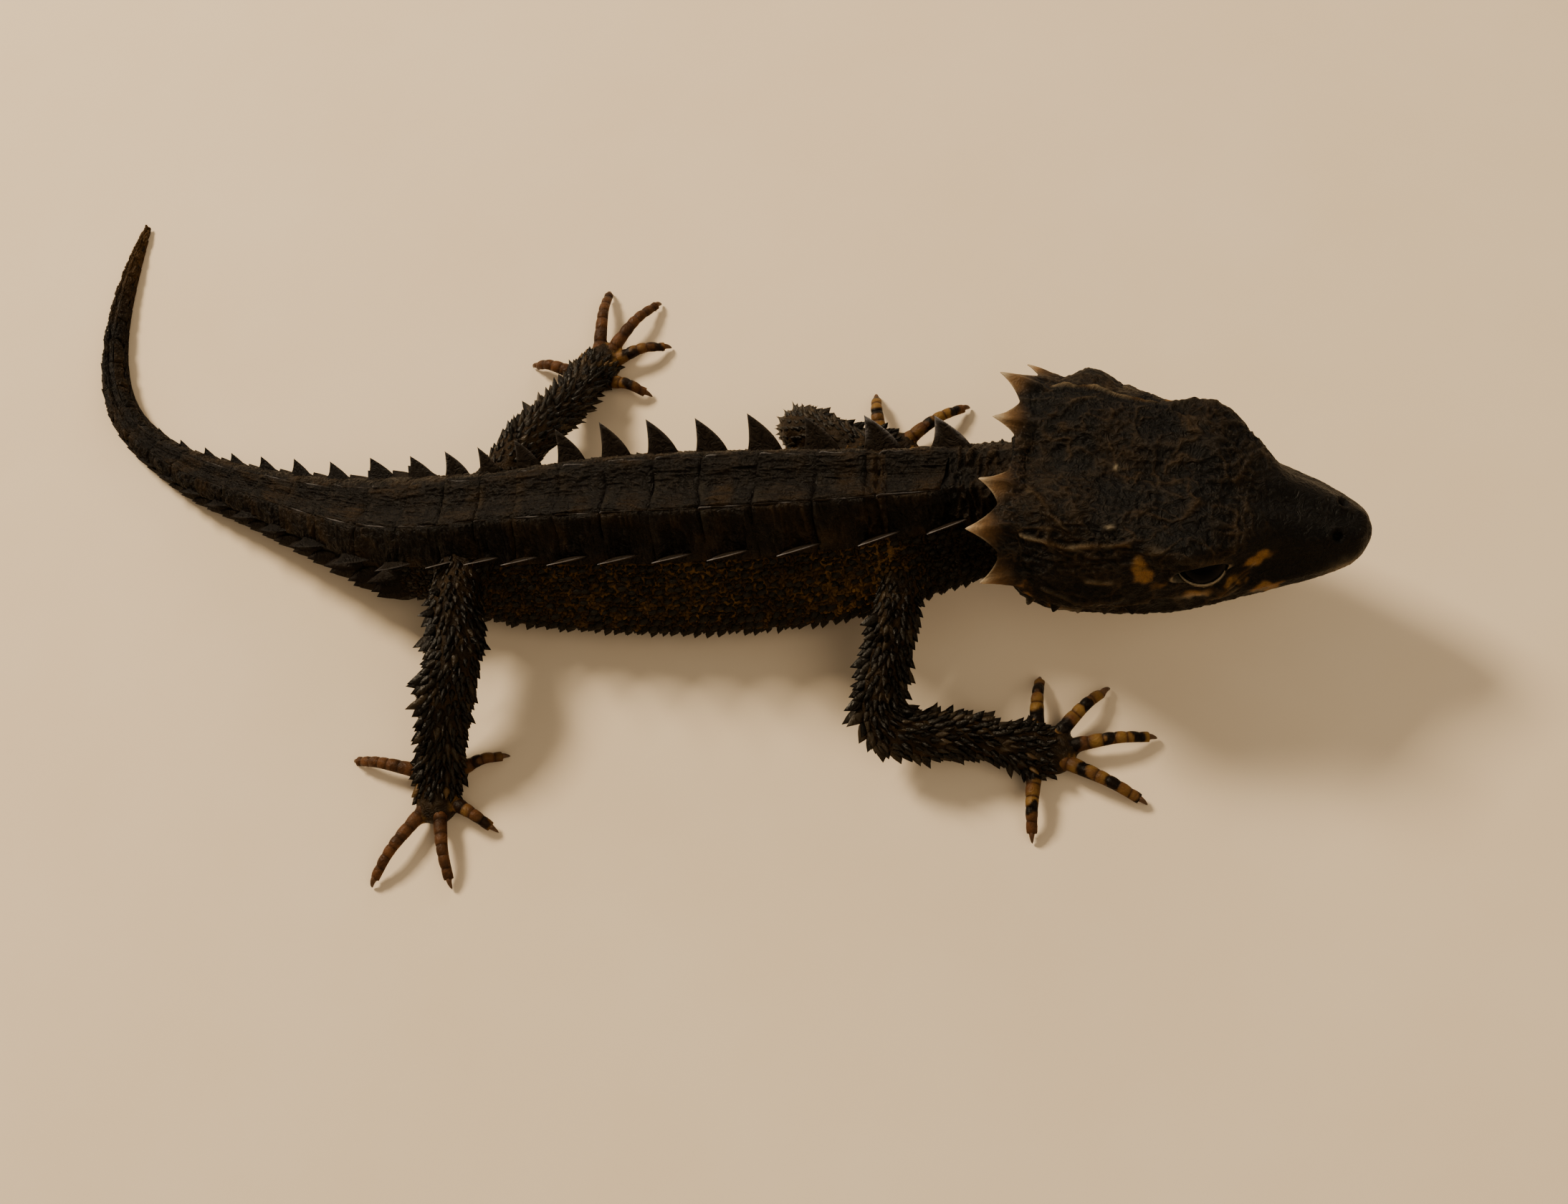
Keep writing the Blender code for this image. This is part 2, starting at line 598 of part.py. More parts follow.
def limb_spikes(joints, first, last, chance):
    """Rings of backward-pointing scales round a length of a limb."""
    path, widths, heights = limb_path(joints)
    pieces = []
    ring = 0
    step = round(SPIKE_PITCH * 10)
    for i in range(first, last, step):
        ahead = unit(path[min(i + 2, len(path) - 1)] - path[max(i - 2, 0)])
        across = unit(np.cross(ahead, UP))
        over = np.cross(across, ahead)
        for j in range(SPIKE_AROUND):
            turn = math.radians(-25 + 230 * (j + 0.5 * (ring % 2)) / SPIKE_AROUND)
            out = unit(across * math.cos(turn) + over * math.sin(turn))
            root = path[i] + across * widths[i] * math.cos(turn) + over * heights[i] * math.sin(turn)
            tall = SPIKE_HEIGHT * (1 + 0.35 * (chance.random() - 0.5))
            pieces.append(spike(root, ahead, out, tall, SPIKE_WIDTH, 0.9))
        ring += 1
    return pieces


def limb_clear_of_body(joints):
    """The first place on a limb's path whose whole ring is outside the body."""
    path, widths, _ = limb_path(joints)
    for i, point in enumerate(path):
        near = AXIS[np.argmin(np.hypot(AXIS[:, 1] - point[0], AXIS[:, 2] - point[1]))]
        half, under, top = smooth(BODY, near[0])
        off = math.hypot(near[1] - point[0], near[2] - point[1])
        share = min(max((point[2] - under) / (top - under), 0.0), 1.0)
        reach = half * (0.98 if share < 0.4 else 0.98 - 0.62 * (share - 0.4))
        if off - widths[i] * 0.6 > reach:
            return i
    return 0


def digit(name, centre, angle, reach, set_back, heading):
    """A digit, arched from the sole, that narrows to a claw on the floor."""
    way = np.array((math.cos(math.radians(angle)), math.sin(math.radians(angle)), 0.0))
    base = centre - heading * set_back
    points = (
        (0.5, 0.95), (1.7, 1.05), (0.45 * reach + 0.7, ARCH_HEIGHT),
        (0.72 * reach + 0.3, ARCH_HEIGHT - 0.1), (reach, TIP_HEIGHT),
    )
    rows = [(i, *(base[:2] + way[:2] * out), up) for i, (out, up) in enumerate(points)]
    stops = (0, 1.4, 2.3, 3.2, 4)
    path = [smooth(rows, stop) for stop in stops]
    radii = np.interp(stops, (0, 1, 2.5, 4), DIGIT_RADII)
    tip = path[-1]
    claw = (
        tip + way * 0.12, tip + way * (0.12 + 0.45 * CLAW_REACH) - UP * 0.08,
        np.append((tip + way * CLAW_REACH)[:2], 0.05),
    )
    radii = np.append(radii, (CLAW_RADIUS, 0.8 * CLAW_RADIUS, 0.05))
    return sweep(name, path + list(claw), radii, radii, 5)


def make_body(chance):
    """Neck, torso and the lengths of the tail."""
    row = segments(sum(node[1] for node in BODY_NODES))
    start = GAP
    done = 0
    for name, count, spacing in BODY_NODES:
        done += count
        cut = AXIS_LENGTH
        if count:
            cut = row[done - 1][0] + 0.5 * row[done - 1][1]
        end = cut - GAP / 2 if count else cut
        node = loft(name, body_rings(start, end, spacing))
        extras = back_armour(row[done - count:done], chance)
        if name == "torso":
            extras += flank_tubercles(start + 1.0, end - 1.0, chance)
        join_by("UNION", node, extras)
        paint(node, BLACK_BROWN if name in ("neck", "torso") else TAIL_GREY)
        start = cut + GAP / 2


def body_shell():
    """The body and its fins grown by one gap, to keep the limbs clear of them."""
    shell = [loft("shell", body_rings(SHELL_FROM, SHELL_TO, SHELL_SPACING, GAP))]
    for at, pitch in segments(BODY_NODES[0][1] + BODY_NODES[1][1] + 1):
        shell += [fin(at, pitch, side, 1.0, GAP) for side in (1, -1) if has_fin(at, side)]
    return shell


def make_limbs(chance):
    """Arms and legs in three lengths each, with their digits and claws."""
    for upper, lower, end, joints, middle, last, sole, digits in LIMBS:
        cut_one = joint_index(joints, middle)
        cut_two = joint_index(joints, last)
        finish = len(limb_path(joints)[0]) - 1
        clear = limb_clear_of_body(joints)
        half_gap = round(GAP * 5)

        node = stretch(upper, joints, 0, cut_one - half_gap, 0.9, (cut_one,))
        join_by("UNION", node, limb_spikes(joints, clear + 8, cut_one - 12, chance))
        join_by("DIFFERENCE", node, body_shell())
        paint(node, BLACK_BROWN)

        cuts = (cut_one, cut_two)
        node = stretch(lower, joints, cut_one + half_gap, cut_two - half_gap, 1.0, cuts)
        join_by("UNION", node, limb_spikes(joints, cut_one + 8, cut_two - 12, chance))
        join_by("DIFFERENCE", node, body_shell())
        paint(node, BLACK_BROWN)

        node = stretch(end, joints, cut_two + half_gap, finish, 1.0, (cut_two,))
        centre = np.array(joints[sole][:3])
        heading = unit(np.array(joints[sole + 1][:3]) - centre)
        pieces = []
        for number, (angle, reach, set_back) in enumerate(digits):
            pieces.append(digit(f"digit_{number}", centre, angle, reach, set_back, heading))
        join_by("UNION", node, pieces)
        paint(node, TOE_BROWN)


def head_rings(upper):
    """Rings of the upper head or of the lower jaw."""
    rings = []
    for i in range(HEAD_RINGS):
        share = i / (HEAD_RINGS - 1)
        along = HEAD[0][0] + (HEAD[-1][0] - HEAD[0][0]) * (1 - (1 - share) ** 1.35)
        row = smooth(HEAD, along)
        lip, lip_up, jaw, chin = row[6:]
        if upper:
            half = [tuple(head_half(along, k)) for k in (0, 1, 1.6, 2, 2.4, 3, 3.5, 4, 5)]
            half.append((0.0, lip_up + GAP / 2))
        else:
            edge = lip_up - GAP / 2
            deep = edge - chin
            half = [(0.0, edge), (lip - 0.3, edge), (lip - 0.05, edge - 0.25 * deep),
                    (lip - 0.25 * (lip - jaw), edge - 0.6 * deep), (jaw, chin + 0.12 * deep),
                    (0.5 * jaw, chin), (0.0, chin)]
        left = [head_place(along, across, up) for across, up in half]
        right = [head_place(along, -across, up) for across, up in half[1:-1]]
        rings.append(left + right[::-1])
    return rings


def ball(name, centre, radius, around=12, rings=8):
    """A round ball from rings about the upright line."""
    verts = [centre + UP * radius]
    for r in range(1, rings):
        slope = math.pi * r / rings
        for i in range(around):
            turn = 2 * math.pi * i / around
            spread = radius * math.sin(slope)
            verts.append(centre + np.array((spread * math.cos(turn), spread * math.sin(turn),
                                            radius * math.cos(slope))))
    verts.append(centre - UP * radius)
    faces = [(0, 1 + i, 1 + (i + 1) % around) for i in range(around)]
    for r in range(rings - 2):
        low, high = 1 + r * around, 1 + (r + 1) * around
        faces += [(low + i, low + (i + 1) % around, high + (i + 1) % around, high + i)
                  for i in range(around)]
    last = 1 + (rings - 2) * around
    faces += [(last + i, last + (i + 1) % around, len(verts) - 1) for i in range(around)]
    return solid(name, verts, faces)


def lid_ring(centre, look, radius, thick):
    """The rim of the lids, a ring round the line of sight."""
    side = unit(np.cross(look, UP))
    over = np.cross(side, look)
    verts, faces = [], []
    around, sides = 12, 5
    for i in range(around):
        turn = 2 * math.pi * i / around
        spoke = side * math.cos(turn) * 1.08 + over * math.sin(turn) * 0.82
        middle = centre + spoke * radius + look * 0.75
        for j in range(sides):
            roll = 2 * math.pi * j / sides
            verts.append(middle + spoke * thick * math.cos(roll) + look * thick * math.sin(roll))
            n, m = (i + 1) % around, (j + 1) % sides
            faces.append((i * sides + j, n * sides + j, n * sides + m, i * sides + m))
    return solid("lid_ring", verts, faces)


def casque(side):
    """Rear spines, crest, brow and cheek plates of one side of the head."""
    pieces = []
    for root, tip, wide, tall in CASQUE_SPINES:
        start = head_place(root[0], side * root[1], root[2])
        end = head_place(tip[0], side * tip[1], tip[2])
        path = [start + (end - start) * share for share in (0.0, 0.45, 0.8, 1.0)]
        pieces.append(sweep("horn", path, (wide, wide * 0.85, wide * 0.42, 0.05),
                            (tall, tall * 0.75, tall * 0.4, 0.05), 7))
    for i in range(CREST_PLATES):
        along = 5.4 + 2.5 * i
        root, back, out = local_frame(head_point, along, 2.0, side)
        out = unit(out + UP * 0.6)
        pieces.append(scute(root, back, out, 2.3, 1.5, 0.15, 0.4))
    for i in range(3):
        along = 4.4 + 3.0 * i
        root, back, out = local_frame(head_point, along, 1.0, side)
        pieces.append(tent(root, back, out, 2.7, 2.1, 0.3))
    for k, first in ((2.65, 4.2), (3.35, 4.9)):
        for i in range(CHEEK_PLATES - (k > 3)):
            along = first + 2.0 * i
            root, back, out = local_frame(head_point, along, k, side)
            pieces.append(tent(root, back, out, 1.9, 1.8, 0.35))
    for i in range(3):
        along = 17.0 + 1.7 * i
        root, back, out = local_frame(head_point, along, 1.7, side)
        pieces.append(tent(root, back, out, 1.5, 1.1, 0.2))
    return pieces


def make_head():
    """Upper head, lower jaw and eyes."""
    head = loft("head", head_rings(True))
    look_of = {}
    pieces = []
    for side in (1, -1):
        centre = head_place(EYE_AT[0], side * EYE_AT[1], EYE_AT[2])
        along, across, up = EYE_LOOK
        look = unit(head_place(along, side * across, up) - head_place(0, 0, 0))
        look_of[side] = (centre, look)
        pieces += casque(side)
        pieces.append(lid_ring(centre, look, LID_RADIUS, LID_THICK))
    join_by("UNION", head, pieces)
    cutters = []
    for side in (1, -1):
        centre, look = look_of[side]
        cutters.append(ball("socket", centre, EYE_RADIUS + GAP))
        nostril = head_place(NOSTRIL_AT[0], side * NOSTRIL_AT[1], NOSTRIL_AT[2])
        cutters.append(ball("nostril", nostril, NOSTRIL_RADIUS, 8, 6))
    join_by("DIFFERENCE", head, cutters)
    paint(head, HEAD_BROWN)
    jaw = loft("lower_jaw", head_rings(False))
    paint(jaw, HEAD_BROWN)
    for side, name in ((1, "eye_left"), (-1, "eye_right")):
        eye = ball(name, look_of[side][0], EYE_RADIUS)
        paint(eye, EYE_BLACK, 0.1)


def main():
    """Clear the scene and build the animal."""
    for obj in list(bpy.data.objects):
        bpy.data.objects.remove(obj)
    chance = random.Random(7)
    make_head()
    make_body(chance)
    make_limbs(chance)


main()
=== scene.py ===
"""Looks of a half-grown crocodile skink that stands on the floor.

Sizes are in millimetres in the body's own frame, where the head joint's place and the
axis are given, until place() brings them to the model's frame in metres.  The tables
of the body, head and limbs are those of the solids, so all that grows on the skin is
set on the same surface.  Three things differ from the solids: the tip of the snout is
rounder, the fins of the rear tail are lower, and those of the left row stand further
back on the tail.
"""

import math

import bmesh
import bpy
import numpy as np
from mathutils import Matrix, Vector, kdtree


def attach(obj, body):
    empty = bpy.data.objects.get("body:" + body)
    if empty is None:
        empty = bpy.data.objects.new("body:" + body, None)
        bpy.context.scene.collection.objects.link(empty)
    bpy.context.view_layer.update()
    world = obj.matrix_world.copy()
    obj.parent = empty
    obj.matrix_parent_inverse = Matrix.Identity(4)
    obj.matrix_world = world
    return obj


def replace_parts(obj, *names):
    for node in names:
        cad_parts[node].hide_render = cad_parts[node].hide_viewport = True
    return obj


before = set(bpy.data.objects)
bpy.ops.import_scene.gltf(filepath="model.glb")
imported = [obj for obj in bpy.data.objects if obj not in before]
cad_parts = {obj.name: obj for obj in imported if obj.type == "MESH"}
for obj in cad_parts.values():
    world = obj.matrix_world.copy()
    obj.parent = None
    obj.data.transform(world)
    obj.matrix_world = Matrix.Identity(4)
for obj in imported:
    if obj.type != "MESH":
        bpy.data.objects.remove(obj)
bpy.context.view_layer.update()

MM = 0.001
# The point of the body's frame that is the model's origin.
ORIGIN = (-9.211, 6.016)
UP = np.array((0.0, 0.0, 1.0))

# The camera, off the plumb line on the animal's right and behind: degrees, then
# millimetres, then metres for the nearest thing it sees.
CAMERA_TILT = 29.0
CAMERA_AZIMUTH = -30.0
CAMERA_DISTANCE = 145.0
CAMERA_LENS = 49.46
CAMERA_SENSOR = 36.0
CAMERA_CLIP = 0.01

# The floor and the light, in metres and watts: each lamp's place, size and power.
FLOOR_HALF = 0.6
FLOOR_COLOURS = ((0.68, 0.46, 0.24), (0.74, 0.53, 0.30))
LAMPS = (
    ("key", (-0.26, 0.20, 0.34), 0.12, 3.3),
    ("fill", (0.30, -0.20, 0.40), 0.30, 0.9),
    ("rim", (0.10, 0.40, 0.20), 0.20, 0.5),
)
LAMP_COLOUR = (1.0, 0.96, 0.90)
SKY_COLOUR = (1.0, 0.96, 0.92, 1.0)
SKY_STRENGTH = 0.32

# Colours of the skin, from the furrows to the pale tips, and of what differs from it.
DARK = (0.0011, 0.0008, 0.0006)
BROWN = (0.0118, 0.0076, 0.0041)
ORANGE = (0.165, 0.072, 0.013)
CREAM = (0.46, 0.32, 0.16)
HORN = ((0.21, 0.092, 0.024), (0.52, 0.38, 0.20))
FIN_HORN = ((0.10, 0.06, 0.03), (0.30, 0.25, 0.20))
LIMB_BROWN = (0.0028, 0.0018, 0.0010)
TOES = ((0.098, 0.034, 0.009), (0.175, 0.083, 0.014))
CLAW_HORN = ((0.010, 0.007, 0.005), (0.05, 0.028, 0.015), (0.11, 0.042, 0.014))
SHEEN = 0.085
LIMB_SHEEN = 0.16
SHEEN_TINT = (1.0, 0.80, 0.52, 1.0)
EYE_SHEEN = 0.025
EYE_COLOURS = (
    (0.0, (0.0008, 0.0006, 0.0006)), (0.17, (0.001, 0.0008, 0.0006)),
    (0.20, (0.004, 0.0024, 0.0014)), (0.34, (0.0016, 0.001, 0.0008)),
)
EYE_VEINS = (0.0018, 0.0012, 0.001)
# The grain of the materials: how many features a metre has, and the height of the bumps.
BROAD_NOISE = 420.0
FOLD_NOISE = 1300.0
VEIN_NOISE = 3000.0
FINE_NOISE = 4200.0
PIT_NOISE = 2.6 * FINE_NOISE
FLOOR_NOISE = 60.0
SKIN_BUMP = 0.00012
EYE_BUMP = 0.00003

# The body axis, as in the solids.
HEAD_YAW = -7.5
HEAD_ORIGIN = (15.6, 2.85)
NECK_SEAT = 1.2
AXIS_STEP = 0.1
AXIS_LENGTH = 91.1
AXIS_BEND = (
    (0.0, 5.5), (5.0, 0.3), (9.0, -1.5), (14.0, 0.0), (34.0, 0.0), (39.0, 3.0), (45.0, 12.0),
    (51.0, 19.0), (60.0, 22.0), (69.0, 38.0), (76.0, 68.0), (82.0, 84.0), (91.1, 95.0),
)
# Distance behind the head joint, half width, underside, top.
BODY = (
    (-1.0, 4.2, 7.3, 12.9), (0.0, 4.3, 6.9, 13.0), (2.3, 4.5, 5.6, 12.8),
    (5.8, 4.9, 3.6, 12.4), (9.8, 5.4, 2.1, 12.2), (14.8, 6.05, 1.2, 12.0),
    (20.8, 6.4, 0.9, 11.6), (26.8, 6.35, 0.85, 11.2), (31.8, 5.95, 0.9, 10.5),
    (35.8, 5.45, 1.0, 9.7), (38.8, 4.95, 1.1, 9.1), (41.8, 4.25, 1.4, 8.3),
    (44.8, 3.6, 1.6, 7.5), (47.8, 2.95, 1.7, 6.8), (50.8, 2.5, 1.6, 6.0),
    (56.8, 1.85, 0.9, 4.6), (62.8, 1.5, 0.2, 3.2), (66.8, 1.25, -0.08, 2.5),
    (74.0, 1.0, -0.08, 2.0), (81.0, 0.74, -0.06, 1.5), (87.0, 0.5, -0.05, 1.0),
    (91.1, 0.2, -0.03, 0.4),
)
# Half cross-sections from mid back (0) to mid belly (8): across and up, as shares.
TRUNK_SECTION = (
    (0, 0.0, 0.955), (1, 0.29, 1.0), (2, 0.46, 0.85), (3, 0.63, 0.69), (4, 0.80, 0.53),
    (5, 0.95, 0.36), (6, 0.97, 0.17), (7, 0.68, 0.03), (8, 0.0, 0.0),
)
TAIL_SECTION = (
    (0, 0.0, 0.95), (1, 0.42, 1.0), (2, 0.72, 0.86), (3, 0.92, 0.66), (4, 1.0, 0.5),
    (5, 0.95, 0.33), (6, 0.80, 0.15), (7, 0.48, 0.02), (8, 0.0, 0.0),
)
TAIL_STARTS = 36.0
TAIL_FULL = 46.0

# Segments of the back and the fins on them.
FIRST_SEGMENT = 4.2
SEGMENT_PITCH = (
    (0.0, 4.5), (8.6, 4.0), (14.0, 3.8), (20.0, 3.4), (30.0, 3.1), (37.0, 2.75),
    (40.0, 3.3), (46.0, 3.7), (52.0, 3.2), (60.0, 2.9), (78.0, 2.3), (91.0, 1.6),
)
FIN_HEIGHT = (
    (0.0, 1.6), (4.2, 2.3), (9.0, 2.6), (15.0, 2.65), (28.0, 2.6), (36.0, 2.1), (44.0, 1.45),
    (52.0, 1.05), (60.0, 0.65), (68.0, 0.26), (78.0, 0.2), (91.0, 0.1),
)
FIN_LEAN = 33.0
FIN_TOE = 10.0
FIN_TURN_LEFT = 3.0
FIN_TURN_RIGHT = 2.75
FIN_BACK_LEFT = ((0.0, 0.1), (8.0, 0.6), (14.0, 0.8), (38.0, 0.8), (48.0, 1.1), (91.1, 0.8))
FIN_BACK_RIGHT = (
    (0.0, 0.0), (4.2, 0.0), (8.5, 0.3), (12.5, 1.35), (16.3, 2.1), (20.0, 2.2), (26.7, 2.7),
    (30.0, 2.9), (33.0, 2.6), (36.0, 2.5), (39.0, 1.0), (42.0, 0.3), (60.0, 0.2), (91.1, 0.0),
)
FIN_GAP_RIGHT = (37.5, 40.0)
TAIL_FIN_LEAN = 60.0
KEEL_HEIGHT = (
    (0.0, 0.4), (9.0, 0.6), (36.0, 0.5), (44.0, 0.7), (56.0, 0.6), (78.0, 0.3), (91.0, 0.12),
)
# Where the plates thin out at the tail's bend, the stretch of tail with whorls of
# scales, where its tip is closed, and where it turns warm.
BEND = (60, 66)
WHORLS = (42, 89.5)
TIP_STARTS = 86.0
TIP_WARMS = (80, 91)
# The deep fold behind the neck, and the length of the plates under the belly.
NECK_FOLD = 8.45
BELLY_PLATE = 1.35

# The head: distance ahead of the casque's rear edge, top, dip of the mid line,
# crest half width and height, cheek half width and height, lip half width and
# height, jaw half width, chin.
HEAD = (
    (1.2, 14.6, 0.6, 4.4, 13.9, 5.6, 11.0, 5.2, 8.8, 3.6, 7.3),
    (2.4, 15.2, 0.6, 5.0, 14.6, 6.8, 11.2, 6.1, 8.6, 4.4, 6.8),
    (5.0, 15.2, 0.5, 5.2, 14.6, 7.6, 11.1, 6.8, 8.6, 4.8, 6.6),
    (8.0, 14.9, 0.4, 4.9, 14.3, 7.2, 11.1, 6.6, 8.5, 4.6, 6.7),
    (10.5, 14.5, 0.3, 5.2, 14.0, 6.2, 11.4, 6.3, 8.6, 4.4, 6.8),
    (13.2, 14.3, 0.2, 5.4, 13.8, 5.0, 11.4, 5.6, 8.8, 3.8, 7.0),
    (15.5, 13.3, 0.1, 3.9, 12.8, 3.9, 11.0, 4.8, 8.9, 3.2, 7.3),
    (17.5, 12.4, 0.1, 2.4, 11.9, 3.0, 10.7, 4.0, 9.0, 2.6, 7.5),
    (19.5, 11.7, 0.05, 1.9, 11.3, 2.5, 10.4, 3.2, 9.1, 2.0, 7.8),
    (21.2, 11.0, 0.0, 1.3, 10.7, 1.8, 10.1, 2.3, 9.2, 1.4, 8.1),
    (22.2, 10.6, 0.0, 0.95, 10.4, 1.32, 9.9, 1.48, 9.25, 0.8, 8.5),
    (22.7, 10.0, 0.0, 0.25, 9.95, 0.35, 9.75, 0.35, 9.45, 0.2, 9.1),
)
# The furrow under the jaw: the column of HEAD whose numbers are also its heights, and
# the plates beside it, by their length and where the first begins.
FURROW_COLUMN = 7
JAW_PLATE = 1.55
JAW_SHIFT = 0.35

# Eyes in the head's own directions, and their lids: half length, heights over and under
# the middle, how far off the eyeball they stand, the rise of their edge, the depth of
# the fold round them and how far behind the front of the eyeball the skin is drawn.
EYE_AT = (13.3, 3.85, 11.55)
EYE_RADIUS = 1.6
EYE_LOOK = (0.12, 0.97, 0.2)
LID_LONG = 1.5
LID_TALL = 1.28
LID_LOW = 0.50
LID_GAP = 0.10
LID_RISE = 0.20
LID_FOLD = 0.12
SOCKET_DEPTH = 0.45
NOSTRIL_AT = (20.8, 1.15, 11.0)

# Limbs: joints with half width and half height, the place of the sole or palm, and
# for each digit its direction, reach and root set back.
ARM_RIGHT = (
    (9.6, 0.5, 7.2, 2.1, 2.1), (9.0, -4.4, 6.0, 1.7, 1.7), (8.5, -7.3, 5.0, 1.6, 1.6),
    (8.2, -9.3, 4.1, 1.6, 1.6), (8.9, -10.5, 3.5, 1.6, 1.6), (10.7, -10.8, 3.0, 1.5, 1.5),
    (13.2, -10.5, 2.5, 1.45, 1.4), (15.9, -10.8, 1.9, 1.3, 1.2), (18.1, -10.9, 1.0, 1.75, 1.25),
    (19.7, -10.8, 0.8, 1.3, 1.0), (20.3, -10.8, 0.7, 0.5, 0.4),
)
ARM_LEFT = (
    (9.2, 4.5, 7.4, 2.1, 2.1), (6.0, 7.2, 7.0, 1.7, 1.7), (3.4, 8.8, 6.7, 1.6, 1.6),
    (1.5, 9.9, 5.8, 1.55, 1.5), (1.0, 10.8, 4.5, 1.5, 1.45), (1.8, 11.2, 3.3, 1.45, 1.4),
    (3.2, 11.0, 2.4, 1.4, 1.35), (4.7, 10.7, 1.9, 1.3, 1.2), (6.4, 10.8, 1.0, 1.75, 1.25),
    (7.9, 11.1, 0.8, 1.3, 1.0), (8.5, 11.3, 0.7, 0.5, 0.4),
)
LEG_RIGHT = (
    (-20.9, 1.5, 6.0, 2.5, 2.5), (-20.7, -3.1, 6.3, 2.15, 2.1), (-20.2, -6.4, 6.0, 1.9, 1.9),
    (-20.8, -8.9, 4.9, 1.75, 1.75), (-21.3, -10.8, 3.4, 1.6, 1.6),
    (-21.6, -12.3, 2.2, 1.45, 1.4), (-21.9, -14.6, 1.0, 1.6, 1.25),
    (-21.9, -16.2, 0.8, 1.25, 1.0), (-21.9, -16.8, 0.7, 0.5, 0.4),
)
LEG_LEFT = (
    (-20.2, 4.5, 5.6, 2.4, 2.4), (-19.0, 8.0, 5.5, 2.0, 2.0), (-17.9, 10.5, 4.9, 1.75, 1.75),
    (-17.1, 12.7, 3.8, 1.6, 1.6), (-16.6, 14.2, 2.9, 1.5, 1.5), (-16.2, 16.0, 2.1, 1.4, 1.35),
    (-15.6, 18.3, 1.0, 1.6, 1.25), (-15.1, 19.6, 0.8, 1.25, 1.0), (-14.9, 20.2, 0.7, 0.5, 0.4),
)
LIMBS = (
    (ARM_RIGHT, 8, ((91, 4.5, 0.4), (50, 5.2, 0), (11, 6.2, 0), (-25, 6.3, 0), (-90, 4.8, 0.4))),
    (ARM_LEFT, 8, ((-80, 4.5, 0.4), (-40, 5.0, 0), (-4, 5.9, 0), (37, 5.6, 0), (101, 4.3, 0.4))),
    (LEG_RIGHT, 6,
     ((26, 3.8, 1.0), (-28, 4.0, 0), (-74, 5.6, 0), (-121, 6.5, 0), (170, 6.0, 1.2))),
    (LEG_LEFT, 6, ((-14, 3.7, 1.0), (22, 4.5, 0), (57, 6.0, 0), (92, 6.0, 0), (162, 4.3, 1.0))),
)
# The digits' radii from root to tip, their claws, and the height of tip and arch.  They
# are a little slimmer and longer than their tables say.
DIGIT_RADII = (0.72, 0.62, 0.5, 0.42)
CLAW_REACH = 0.55
CLAW_RADIUS = 0.30
TIP_HEIGHT = 0.5
ARCH_HEIGHT = 1.25
TOE_SLIM = 0.86
TOE_MORE = 0.4
# The length of a toe's bands and of its scutes.
TOE_BAND = 1.9
TOE_SCUTE = 0.78
# Distance between the points of a limb's path, and the points of a digit's path.
LIMB_STEP = 0.1
DIGIT_STOPS = 33

# The flesh of the limbs, as a share of the solids, which take in the scales.
LIMB_SLIM = 0.87
ROOT_SLIM = 0.16
LOWER_FULLER = 0.12

# The skin's mesh, and how far it lies inside the forms that grow on it.  It is finer
# round the head and the front of the neck, in the head's own directions.
VOXEL = 0.17
SKIN_DEPTH = 0.12
FINE_FROM = -9.5
FINE_HALF_WIDTH = 8.5

# Points of the plain skin: distance between its rings, and sides of its tubes.
BODY_STEP = 0.4
BODY_SIDES = 72
LIMB_SIDES = 32
DIGIT_SIDES = 16
# The same for the places that are looked up: sides, every which ring of a limb, and the
# first ring of a digit outside the sole.
KNOWN_LIMB_SIDES = 24
KNOWN_DIGIT_SIDES = 12
KNOWN_LIMB_RING = 3
KNOWN_DIGIT_ROOT = 6

# The side plates' middle and half width, as places from mid back (0) to mid belly (8).
SIDE_TURN = 1.98
SIDE_HALF = 0.97
# Where the pale rim of the fins fades out, and where that of the first fins ends.
FIN_FADE = (38.0, 43.0)
FIRST_FINS = (9.0, 10.5)
# How close the knobs and the small scales of the flank stand, along and round it, and
# how far round and along the flank they go.
KNOB_PITCH = (0.80, 0.41)
NET_PITCH = (0.31, 0.155)
KNOB_REACH = (3.15, 6.7, -0.4, 43.0)
NET_REACH = (2.95, 6.8, -0.6, 43.5)
# Steps along a limb between rows of scales, and the width that each scale gets.
LIMB_ROW = 5
LIMB_SCALE = 0.58

MID_GRID = (24, 80)
SIDE_GRID = (54, 24)
KEEL_GRID = (21, 7)
SCUTE_GRID = (9, 15)
FIN_GRID = (22, 16)

# Half the size of a small form on the unwrap.
PATCH = 0.0015

# The nodes that the skin stands in for.
FLESH = (
    "head", "lower_jaw", "neck", "torso", "tail_base", "tail_middle", "tail_rear", "tail_tip",
    "upper_arm_right", "forearm_right", "hand_right", "upper_arm_left", "forearm_left",
    "hand_left", "thigh_right", "shank_right", "foot_right", "thigh_left", "shank_left",
    "foot_left",
)
MARKS = ("pale", "warm", "shade")

# Kinds of wrinkles: how their lines wander (size, amount, seed), the lines themselves
# (size, seed) and how sharp they are.
HEAD_WRINKLE = ((0.9, 0.40, 31), (0.55, 41), 2)
HEAD_FINE = ((0.5, 0.22, 51), (0.26, 61), 2)
HEAD_FAINT = ((0.35, 0.12, 55), (0.15, 65), 2)
HEAD_THREAD = ((1.1, 0.6, 57), (1.15, 59), 14)
HEAD_SMALL_THREAD = ((0.8, 0.45, 157), (0.75, 159), 16)
BODY_FOLD = ((0.9, 0.30, 81), (0.42, 83), 2)
BODY_THIN_FOLD = ((0.5, 0.20, 85), (0.26, 87), 2)
LIMB_PLEAT = ((0.8, 0.3, 103), (0.5, 105), 2)
